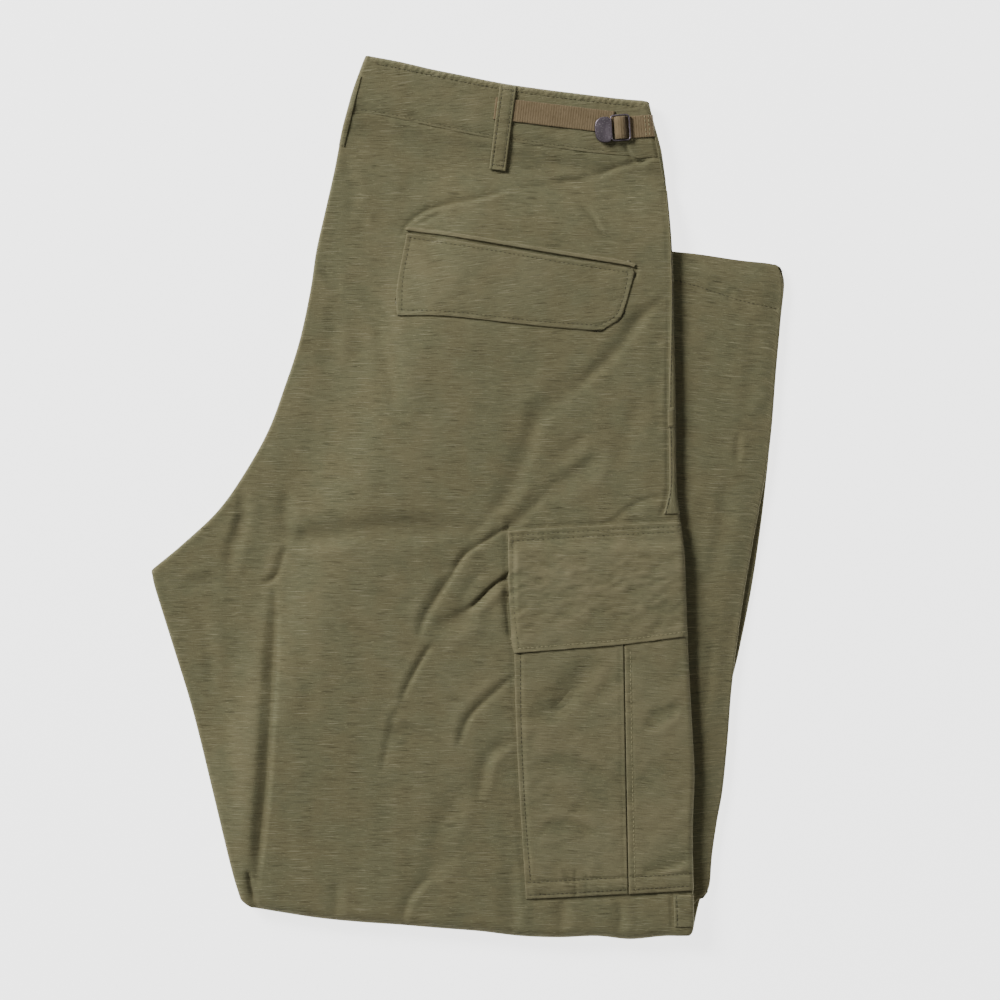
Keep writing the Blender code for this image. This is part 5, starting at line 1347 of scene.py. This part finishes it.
UNDER_BAND = four_edges(BAND_BOTTOM, BAND_SIDE, BAND_TOP, BAND_BACK)
under_plan = patch(*UNDER_BAND, spacing(224.0, 2.4, 0.8), spacing(41.0, 2.0, 0.8))
inward = np.maximum(-to_loop(under_plan[..., 0], under_plan[..., 1], around(UNDER_BAND, 3)), 0.0)
under_outer = np.dstack([under_plan, roll_drop(inward, 0.8)])
under_fall = np.full(len(rim_loop(*inward.shape)), BAND - 0.8)
left_band = shell("waistband_left", under_outer, two_skirts(under_fall), BAND - 0.3, side=-1, turn=-6.0,
                  offset=(400, 260), wear_and_shade=0.5 + 0.4 * np.exp(-inward / 1.5))
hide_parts("left_waistband")
cut_piece(left_band, under_plan)

# %% [markdown]
# ## Waist adjuster
#
# A woven tape runs from under the belt loop to a die-cast slide buckle, turns over the buckle's bar and ends
# in a sewn tab. The buckle has a slotted frame and a domed finger tab.

# %% The webbing
STRAP_LOW, STRAP_FAR = np.array((19.5, 280.0)), np.array((105.0, 269.8))
TURN = math.radians(4.0)
AHEAD, ACROSS = np.array((math.cos(TURN), math.sin(TURN))), np.array((-math.sin(TURN), math.cos(TURN)))
BAR = np.array((110.0, 265.8))


def strap_waves(x, y):
    """Woven tape hardly bends: one slow wave along it, 0.12 mm high."""
    along = (x - BAR[0]) * AHEAD[0] + (y - BAR[1]) * AHEAD[1]
    return 0.12 * np.sin(along / 13.0)


def tape_edges(low, high):
    """Four edges of a run of tape between two points on its centre line."""
    ahead = (high - low) / np.linalg.norm(high - low)
    half = STRAP_WIDTH / 2 * np.array((-ahead[1], ahead[0]))
    near, far = (low - half, low + half), (high - half, high + half)
    return (near[0], far[0]), far, (near[1], far[1]), near


strap, _, plan = sewn_piece("webbing_run", tape_edges(STRAP_LOW, STRAP_FAR), on_band, WEBBING, 0.9,
                            relief=(strap_waves,), turn=6.5, soft=0.45)
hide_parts("adjuster_strap")
cut_piece(strap, plan)
END_LOW, END_FAR = BAR + 4.4 * AHEAD, BAR + 24.2 * AHEAD
strap_end, end_face, plan = sewn_piece("webbing_end", tape_edges(END_LOW, END_FAR), on_band, WEBBING, 0.9,
                                       relief=(strap_waves,), turn=-4.0, soft=0.45)
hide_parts("adjuster_end")

# %% [markdown]
# A casting has no sharp edge. The frame is one rounded section carried round a rounded rectangle, and the
# finger tab is a stack of D-shaped rings, which a bevel on a cut plate would not dome.

# %% A section carried round a path
def sweep(path, up, out, section):
    """A closed section (a outwards, b upwards) carried round a closed path: P + a * out + b * up."""
    rings = path[:, None] + section[None, :, :1] * out[:, None] + section[None, :, 1:] * up
    k = numbers(len(path), len(section))
    after = np.roll(k, -1, axis=0)
    quads = np.stack([k, after, np.roll(after, -1, axis=1), np.roll(k, -1, axis=1)], axis=-1).reshape(-1, 4)
    return rings.reshape(-1, 3), quads


def rounded_section(width, height, corner, count=4):
    """A rectangle with round corners, anticlockwise, about its middle."""
    angles = np.radians(np.linspace(0, 90, count))
    arc = corner * np.column_stack([np.cos(angles), np.sin(angles)])
    turns = [np.array([[c, s], [-s, c]]) for c, s in ((1, 0), (0, 1), (-1, 0), (0, -1))]
    middles = [np.array((sx * (width / 2 - corner), sy * (height / 2 - corner)))
               for sx, sy in ((1, 1), (-1, 1), (-1, -1), (1, -1))]
    return np.vstack([arc @ turn + middle for turn, middle in zip(turns, middles)])


# %% [markdown]
# The buckle is drawn on axes of its own, along and across the tape, and then put in its place.

# %% Frame and finger tab
def buckle_space(u, w, z):
    """Points of the buckle, along and across its own axes, in space."""
    u, w, z = np.broadcast_arrays(u, w, z)
    flat = BAR + u[..., None] * AHEAD + w[..., None] * ACROSS
    return np.concatenate([flat, z[..., None]], axis=-1)


BUCKLE_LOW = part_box("adjuster_buckle")[0].z / MM
BUCKLE_THICK = 1.6


def frame_ring():
    """The frame: a rounded bar carried round a rounded rectangle."""
    half_u, half_w, corner = 7.4, 9.2, 2.2
    plan = rounded_section(2 * half_u - 1.6, 2 * half_w - 0.4, corner, 7)
    path = buckle_space(plan[:, 0], plan[:, 1], BUCKLE_LOW + BUCKLE_THICK / 2)
    ahead = np.roll(path, -1, axis=0) - np.roll(path, 1, axis=0)
    out = unit(np.column_stack([ahead[:, 1], -ahead[:, 0], 0 * ahead[:, 0]]))
    return sweep(path, np.array((0.0, 0.0, 1.0)), out, rounded_section(1.2, BUCKLE_THICK, 0.45))


def finger_tab():
    """The tab: rings of a D outline, each a share of the last and higher, with a bead along its rim.

    Height over the ring's share s is dome * (1 - s^2) + bead * exp(-((s - 0.92) / 0.05)^2).
    """
    a = np.radians(np.linspace(0, 360, 60, endpoint=False))
    middle = -11.4
    round_u = np.where(np.cos(a) < 0, -7.2 * np.abs(np.cos(a)) ** 0.85, 5.2 * np.abs(np.cos(a)) ** 0.45)
    round_w = 9.3 * np.sign(np.sin(a)) * np.abs(np.sin(a)) ** 0.75
    shares = np.array([1.0, 1.0, 0.985, 0.95, 0.9, 0.85, 0.8, 0.7, 0.55, 0.35, 0.12])
    lift = 0.9 * (1 - shares ** 2) + 0.28 * np.exp(-((shares - 0.92) / 0.05) ** 2)
    lift[:3] = (-1.1, -0.45, -0.12)
    ring = buckle_space(middle + shares[:, None] * round_u, shares[:, None] * round_w - 0.7,
                        BUCKLE_LOW + BUCKLE_THICK - 0.3 + lift[:, None])
    below = buckle_space(middle + 0.93 * round_u, 0.93 * round_w - 0.7, BUCKLE_LOW + 0.0 * a)
    rings = np.vstack([below[None], ring])
    k = numbers(*rings.shape[:2])
    size = k.shape[1]
    caps = rings.reshape(-1, 3)
    poles = np.vstack([rings[-1].mean(axis=0), rings[0].mean(axis=0)])
    top, low = len(caps), len(caps) + 1
    tris = np.vstack([np.column_stack([k[-1], np.roll(k[-1], -1), np.full(size, top)]),
                      np.column_stack([np.roll(k[0], -1), k[0], np.full(size, low)])])
    return np.vstack([caps, poles]), tube_quads(k), tris


ring_verts, ring_quads = frame_ring()
tab_verts, tab_quads, tab_tris = finger_tab()
base = len(ring_verts)
buckle = fill_mesh("slide_buckle", np.vstack([ring_verts, tab_verts]),
                   np.vstack([ring_quads, tab_quads + base]), tab_tris + base)
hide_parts("adjuster_buckle")


# %% [markdown]
# The webbing turns over the frame's bar. Its section is the arch between two half ellipses, carried across
# the tape and pinched a little at both selvedges.

# %% The tape's turn
def tape_turn():
    """The webbing's turn: an arch over the bar, u = r cos(a), z = h sin(a), as two faces and their sides."""
    a = np.radians(np.linspace(-12, 192, 25))
    low = BUCKLE_LOW - 0.5
    rise = np.maximum(np.sin(a), -0.3)
    outer = np.column_stack([4.5 * np.cos(a), low + (BUCKLE_THICK + 2.3) * rise])
    inner = np.column_stack([3.2 * np.cos(a), low + (BUCKLE_THICK + 1.0) * rise])
    section = np.vstack([outer, inner[::-1]])
    w = np.array([-8.0, -7.8, -4.0, 0.0, 4.0, 7.8, 8.0])
    pinch = np.array([0.82, 1.0, 1.0, 1.0, 1.0, 1.0, 0.82])[:, None]
    middle = section.mean(axis=0)
    u = middle[0] + (section[None, :, 0] - middle[0]) * (0.5 + 0.5 * pinch)
    z = middle[1] + (section[None, :, 1] - middle[1]) * (0.7 + 0.3 * pinch)
    verts = buckle_space(u, w[:, None] + 0 * u, z)
    rows, size = verts.shape[:2]
    k = numbers(rows, size)
    quads = tube_quads(k)[:, ::-1]
    half = size // 2
    pairs = np.arange(half - 1)
    cap = np.column_stack([pairs, pairs + 1, size - 2 - pairs, size - 1 - pairs])
    quads = np.vstack([quads, cap, cap[:, ::-1] + (rows - 1) * size])
    run = np.concatenate([a, a[::-1]]) * 4.0
    uv = np.stack(np.broadcast_arrays(run[None], w[:, None]), axis=-1).reshape(-1, 2)
    return verts.reshape(-1, 3), quads, uv


turn_verts, turn_quads, turn_uv = tape_turn()
tape = fill_mesh("webbing_turn", turn_verts, turn_quads, [], turn_uv, np.full(len(turn_verts), 0.7))
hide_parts("adjuster_turn")
cut_piece(strap_end, plan)
print("buckle level", round(BUCKLE_LOW, 2), "mm")

# %% [markdown]
# ## Stitching
#
# Topstitching is what tells the eye that this is sewn. Every stitch is a small spindle of thread laid on the
# cloth's own surface. Hundreds are made at once: one spindle, placed by arrays along each sewn line.

# %% Rows of stitches
SPINDLE_AT = np.array([-1.0, -0.72, 0.0, 0.72, 1.0])
SPINDLE_WIDE = np.array([0.25, 0.8, 1.0, 0.8, 0.25])


def stitch_row(face, path, pitch=3.2, length=2.3, thick=0.6, seed=1):
    """Spindles along a path on a surface: rings of five points about the line between each stitch's ends."""
    line = smooth_line(path, 0.5)
    run = run_along(line)
    at = np.arange(pitch / 2, run[-1], pitch)
    random = np.random.default_rng(seed)
    at = at + random.uniform(-0.15, 0.15, len(at))
    ends = [face(np.interp(at + k, run, line[:, 0]), np.interp(at + k, run, line[:, 1]))
            for k in (-length / 2, length / 2)]
    middle, half = (ends[0] + ends[1]) / 2, (ends[1] - ends[0]) / 2
    middle[:, 2] += 0.12
    side = unit(np.cross(half, (0.0, 0.0, 1.0)))
    up = unit(np.cross(side, half))
    a = np.radians(np.arange(5) * 72.0)
    ring = (side[:, None, None] * np.cos(a)[None, None, :, None]
            + up[:, None, None] * np.sin(a)[None, None, :, None]) * SPINDLE_WIDE[None, :, None, None]
    points = middle[:, None, None] + half[:, None, None] * SPINDLE_AT[None, :, None, None] + ring * thick / 2
    k = numbers(len(at), 5, 5)
    fan = np.array([(0, 1, 2), (0, 2, 3), (0, 3, 4)])
    caps = np.concatenate([k[:, 0][:, fan], k[:, 4][:, fan[:, ::-1]]], axis=1)
    return points.reshape(-1, 3), tube_quads(k)[:, ::-1], caps.reshape(-1, 3)


def thread_mesh(name, rows):
    """All the rows of one kind of thread as one mesh."""
    verts, quads, tris, start = [], [], [], 0
    for number, (face, path, *more) in enumerate(rows):
        v, q, t = stitch_row(face, path, *more, seed=number)
        verts.append(v)
        quads.append(q + start)
        tris.append(t + start)
        start += len(v)
    piece = fill_mesh(name, np.vstack(verts), np.vstack(quads), np.vstack(tris))
    print(name, start // 25, "stitches")
    return piece


def leg_face(x, y):
    """The lower leg's top ply."""
    z = leg_height(x, y, LEG_THICK + GAP, to_legs, True)
    return np.stack([x, y, z], axis=-1)


def rows_of(face, table, count, *size):
    """The first rows of a seam table as rows of stitches, with their pitch, length and thickness."""
    return [(face, row[0], *size) for row in table[:count]]


# %% [markdown]
# Thread comes in two tones: dark on most seams, a painted shade standing for the holes and gaps between
# stitches, and pale on a few rows. Each row names the surface that it is sewn on and its path.

# %% All the rows
LOOP_FACE = LOOP_FACES["belt_loop_back"]
LOOP_ROWS = [(LOOP_FACE, ((21.6 + k, 237.4 - 0.12 * k), (29.2 + k, 294.2 - 0.12 * k))) for k in (-3.9, 3.9)]
LOOP_ROWS += [(LOOP_FACE, ((x - 4.2, y + 0.5), (x + 4.2, y - 0.5)), 1.9, 1.6)
              for x, y in ((22.1, 239.2), (28.9, 293.4))]
DARK_ROWS = ([(band_face, BAND_STITCHES[0][0], 3.2, 1.5, 0.36)] + rows_of(band_face, BAND_STITCHES[1:], 1)
             + rows_of(flap_face, FLAP_ROWS, 4, 3.3, 1.8, 0.52) + LOOP_ROWS
             + rows_of(pocket_face, POCKET_ROWS, 3) + rows_of(front_face, FRONT_ROWS, 2)
             + rows_of(upper_fell_face, FELL_ROWS, 1) + rows_of(lower_fell_face, FELL_ROWS[1:], 1)
             + rows_of(leg_face, LEG_SEAMS, 1) + rows_of(leg_flap_face, LEG_FLAP_ROWS, 3, 3.6, 1.6, 0.48))
PALE_ROWS = (rows_of(leg_flap_face, LEG_FLAP_ROWS[3:], 1) + rows_of(front_face, FRONT_ROWS[2:], 1)
             + rows_of(end_face, [(((131.2, 260.0), (130.0, 274.6)),),
                                  (((128.6, 259.8), (127.4, 274.4)),)], 2))
stitches = thread_mesh("stitches", DARK_ROWS)
pale_stitches = thread_mesh("pale_stitches", PALE_ROWS)

# %% [markdown]
# ## Materials
#
# Colours are given as hex values and turned to linear light by one function.

# %% Colour and node helpers
def linear(hex_colour):
    """An sRGB hex colour as linear RGBA: each channel c becomes ((c + 0.055) / 1.055)^2.4, or c / 12.92."""
    c = np.array([int(hex_colour[k:k + 2], 16) for k in (1, 3, 5)]) / 255.0
    value = np.where(c <= 0.04045, c / 12.92, ((c + 0.055) / 1.055) ** 2.4)
    return (*[float(v) for v in value], 1.0)


def add_node(tree, kind, inputs=None, **settings):
    """A node with its settings; each input is a value, or another node's output to link."""
    node = tree.nodes.new(kind)
    for key, value in settings.items():
        setattr(node, key, value)
    for key, value in (inputs or {}).items():
        if isinstance(value, bpy.types.NodeSocket):
            tree.links.new(value, node.inputs[key])
        else:
            node.inputs[key].default_value = value
    return node


def new_material(name):
    """A new material with its node tree and its Principled shader."""
    material = bpy.data.materials.new(name)
    material.use_nodes = True
    return material, material.node_tree, material.node_tree.nodes["Principled BSDF"]


def noise(tree, place, scale, detail, **settings):
    """Soft noise at a place, from 0 to 1."""
    return add_node(tree, "ShaderNodeTexNoise", {"Vector": place, "Scale": scale, "Detail": detail},
                    **settings).outputs[0]


def stretched(tree, value, low, high, **settings):
    """A value stretched so that low becomes 0 and high becomes 1, and cut off there."""
    return add_node(tree, "ShaderNodeMapRange", {"Value": value, "From Min": low, "From Max": high},
                    **settings).outputs[0]


def tint(tree, factor, a, b, amount=1.0):
    """Mixes colour a to colour b by a factor times an amount."""
    scaled = add_node(tree, "ShaderNodeMath", {0: factor, 1: amount}, operation="MULTIPLY", use_clamp=True)
    return add_node(tree, "ShaderNodeMix", {0: scaled.outputs[0], 6: a, 7: b}, data_type="RGBA").outputs[2]


def cloth_place(tree):
    """The cloth's own UV map, in millimetres."""
    uv = add_node(tree, "ShaderNodeUVMap", uv_map="cloth")
    return add_node(tree, "ShaderNodeVectorMath", {0: uv.outputs[0], 1: (1000.0, 1000.0, 1000.0)},
                    operation="MULTIPLY").outputs[0]


def finish_shader(tree, shader, colour, constants, relief=None, strength=0.35, depth=0.0004):
    """Links the colour and the bump of a relief, and sets the constants on the shader's own sockets."""
    tree.links.new(colour, shader.inputs["Base Color"])
    if relief is not None:
        bump = add_node(tree, "ShaderNodeBump", {"Height": relief, "Strength": strength, "Distance": depth})
        tree.links.new(bump.outputs[0], shader.inputs["Normal"])
    for socket, value in constants.items():
        shader.inputs[socket].default_value = value


# %% [markdown]
# The cloth is named ripstop, a plain weave with a heavier thread every few millimetres. No such grid is seen
# on this garment and none is drawn, so the name is a guess. What does show are slubs: short thick stretches
# of weft, paler or darker, all lying across the piece. The pattern reads the cloth's own UV map, in
# millimetres, so it follows each piece's grain.

# %% Washed ripstop cotton
SLUBS = (
    # kind, length, width, noise where it starts and is full, seed, colour, amount
    ("grain", 8.0, 0.38, 0.30, 0.70, 3.0, "#7A7657", 0.50),
    ("pale", 22.0, 0.38, 0.67, 0.75, 11.0, "#9C9778", 0.8),
    ("dark", 18.0, 0.38, 0.65, 0.73, 27.0, "#3C3928", 0.72),
    ("short pale", 5.0, 0.42, 0.72, 0.78, 57.0, "#928D6C", 0.8),
    ("short dark", 5.0, 0.42, 0.70, 0.76, 83.0, "#403D2C", 0.5),
    ("upright", 0.5, 3.2, 0.72, 0.78, 41.0, "#7E7958", 0.5),
)


def streaks(tree, place, length, width, low, high, seed):
    """Short lines along u: noise squeezed to the thread's width and cut off between low and high."""
    scaled = add_node(tree, "ShaderNodeMapping", {"Vector": place, "Scale": (1 / length, 1 / width, 1.0),
                                                  "Location": (seed, seed * 1.7, 0.0)})
    value = noise(tree, scaled.outputs[0], 1.0, 1.0, noise_dimensions="2D")
    return stretched(tree, value, low, high, interpolation_type="SMOOTHSTEP")


def ripstop_cotton():
    """Matt olive cotton: mottled dye, slubs across, paler rubbed edges, painted highlight on ridges and
    painted shade in hollows.
    """
    material, tree, shader = new_material("washed_ripstop_cotton")
    mm = cloth_place(tree)
    patches = noise(tree, mm, 1 / 26.0, 3.0, noise_dimensions="2D")
    colour = tint(tree, stretched(tree, patches, 0.38, 0.62), linear("#66654C"), linear("#6A654B"))
    slubs = {}
    for kind, length, width, low, high, seed, shade, amount in SLUBS:
        slubs[kind] = streaks(tree, mm, length, width, low, high, seed)
        colour = tint(tree, slubs[kind], colour, linear(shade), amount)
    wear_and_shade = add_node(tree, "ShaderNodeAttribute", attribute_name="wear_and_shade").outputs[2]
    # Above 0.5 the cloth turns paler: rubbed rims, and painted highlight on ridges and raised pieces. Below
    # 0.36 it turns darker: painted shade in creases, seam troughs and dents.
    colour = tint(tree, stretched(tree, wear_and_shade, 0.5, 1.0), colour, linear("#8B8365"), 0.45)
    colour = tint(tree, stretched(tree, wear_and_shade, 0.36, 0.0), colour, linear("#5A543D"), 0.35)
    weave = noise(tree, mm, 1.1, 2.0, noise_dimensions="2D")
    raised = add_node(tree, "ShaderNodeMath", {0: slubs["pale"], 1: weave}, operation="ADD").outputs[0]
    sunk = add_node(tree, "ShaderNodeMath", {0: raised, 1: slubs["dark"]}, operation="SUBTRACT").outputs[0]
    finish_shader(tree, shader, colour, {"Roughness": 0.9, "Specular IOR Level": 0.12, "Sheen Weight": 0.06,
                                         "Sheen Roughness": 0.5}, sunk)
    return material


# %% [markdown]
# The webbing is woven across in ribs, faded in patches. The buckle is zinc, cast and lacquered dark, with
# small rubbed spots where the metal glints. The thread is twisted polyester. Each is a noise or a wave
# between two colours.

# %% Webbing, lacquered metal, thread and table
def ribbed_webbing():
    """Brown tape: a sine across its length for the ribs, broken by noise, and faded in patches."""
    material, tree, shader = new_material("ribbed_cotton_webbing")
    mm = cloth_place(tree)
    ribs = add_node(tree, "ShaderNodeTexWave", {"Vector": mm, "Scale": 0.175, "Distortion": 0.35,
                                                "Detail": 2.0, "Detail Scale": 2.0},
                    wave_type="BANDS", bands_direction="X").outputs[0]
    faded = noise(tree, mm, 1 / 9.0, 3.0, noise_dimensions="2D")
    colour = tint(tree, faded, linear("#68593F"), linear("#7E6D52"))
    colour = tint(tree, ribs, colour, linear("#857558"), 0.32)
    colour = tint(tree, streaks(tree, mm, 0.6, 3.0, 0.55, 0.75, 5.0), colour, linear("#52462F"), 0.5)
    finish_shader(tree, shader, colour, {"Roughness": 0.85, "Specular IOR Level": 0.3, "Sheen Weight": 0.1},
                  ribs)
    return material


def lacquered_zinc():
    """Dark lacquer on a casting: uneven gloss, and bare metal in small rubbed spots."""
    material, tree, shader = new_material("lacquered_zinc_casting")
    place = add_node(tree, "ShaderNodeTexCoord").outputs["Object"]
    fine = noise(tree, place, 900.0, 4.0)
    colour = tint(tree, stretched(tree, fine, 0.58, 0.70), linear("#6B6269"), linear("#A09A9A"), 0.7)
    rough = add_node(tree, "ShaderNodeMapRange", {"Value": fine, "To Min": 0.26, "To Max": 0.48}).outputs[0]
    tree.links.new(rough, shader.inputs["Roughness"])
    finish_shader(tree, shader, colour, {"Metallic": 0.85}, fine, 0.25, 0.0001)
    return material


def twisted_thread(name, dark, light):
    """Polyester thread, its twist drawn as fine bands between two colours."""
    material, tree, shader = new_material(name)
    place = add_node(tree, "ShaderNodeTexCoord").outputs["Object"]
    twist = add_node(tree, "ShaderNodeTexWave", {"Vector": place, "Scale": 620.0, "Distortion": 1.0},
                     wave_type="BANDS", bands_direction="DIAGONAL").outputs[0]
    finish_shader(tree, shader, tint(tree, twist, linear(dark), linear(light)), {"Roughness": 0.55})
    return material


def pale_table():
    """A pale sheet lit from within a little, so that it stays bright: faint mottling, no gloss."""
    material, tree, shader = new_material("pale_backlit_sheet")
    place = add_node(tree, "ShaderNodeTexCoord").outputs["Object"]
    colour = tint(tree, noise(tree, place, 30.0, 2.0), linear("#EBEBEB"), linear("#F0F0F0"))
    finish_shader(tree, shader, colour, {"Roughness": 0.9, "Emission Color": (1.0, 1.0, 1.0, 1.0),
                                         "Emission Strength": 2.66})
    return material


COTTON, TAPE, LACQUER = ripstop_cotton(), ribbed_webbing(), lacquered_zinc()
# The dark thread is darker than the real thread: painted shade for the holes and gaps between stitches.
THREAD, TABLE = twisted_thread("shade_darkened_thread", "#36331F", "#4A4631"), pale_table()
PALE_THREAD = twisted_thread("pale_polyester_thread", "#857F5C", "#A29B76")
for piece in [o for o in bpy.context.scene.objects if o.type == "MESH" and "cloth" in o.data.uv_layers]:
    piece.data.materials.clear()
    piece.data.materials.append(TAPE if piece.name.startswith("webbing") else COTTON)
for piece, material in ((buckle, LACQUER), (stitches, THREAD), (pale_stitches, PALE_THREAD), (floor, TABLE)):
    piece.data.materials.append(material)
print("materials:", [m.name for m in (COTTON, TAPE, LACQUER, THREAD, TABLE)])

# %% [markdown]
# ## Light and camera
#
# Folds only show in light that comes from one side. A large soft lamp stands at the upper left, so ridges
# are lit and grooves shaded with soft edges. A weak one on the other side and a dim sky open the shadows.
# The camera looks straight down from far up with a long lens, which keeps the outline free of perspective.

# %% Light and camera
LIGHTS = (
    # name, place in metres, size in metres, power in watts
    ("key", (-2.9, 2.3, 2.65), 1.7, 280.0),
    ("fill", (1.2, 0.0, 3.4), 1.8, 15.0),
)
SKY = 0.11
FIELD, HEIGHT, SENSOR = 0.720, 3.0, 36.0       # width of the view and camera height in metres, sensor in mm
LENS_LEVEL = 0.01                              # the view is that wide 1 cm above the table


def area_light(name, place, size, power):
    """A square soft light, turned to look at the middle of the table."""
    data = bpy.data.lights.new(name, "AREA")
    data.shape, data.size, data.energy = "SQUARE", size, power
    lamp = placed(name, data)
    lamp.location = place
    lamp.rotation_euler = (-Vector(place)).to_track_quat("-Z", "Y").to_euler()


for row in LIGHTS:
    area_light(*row)
world = bpy.data.worlds.new("studio")
world.use_nodes = True
world.node_tree.nodes["Background"].inputs[0].default_value = (1.0, 1.0, 1.0, 1.0)
world.node_tree.nodes["Background"].inputs[1].default_value = SKY
bpy.context.scene.world = world

lens = bpy.data.cameras.new("overhead")
lens.sensor_width = SENSOR
lens.lens = SENSOR * (HEIGHT - LENS_LEVEL) / FIELD
camera = placed("overhead", lens)
camera.location = (0.0234, -0.0018, HEIGHT)
bpy.context.scene.camera = camera
print("lens", round(lens.lens, 1), "mm")
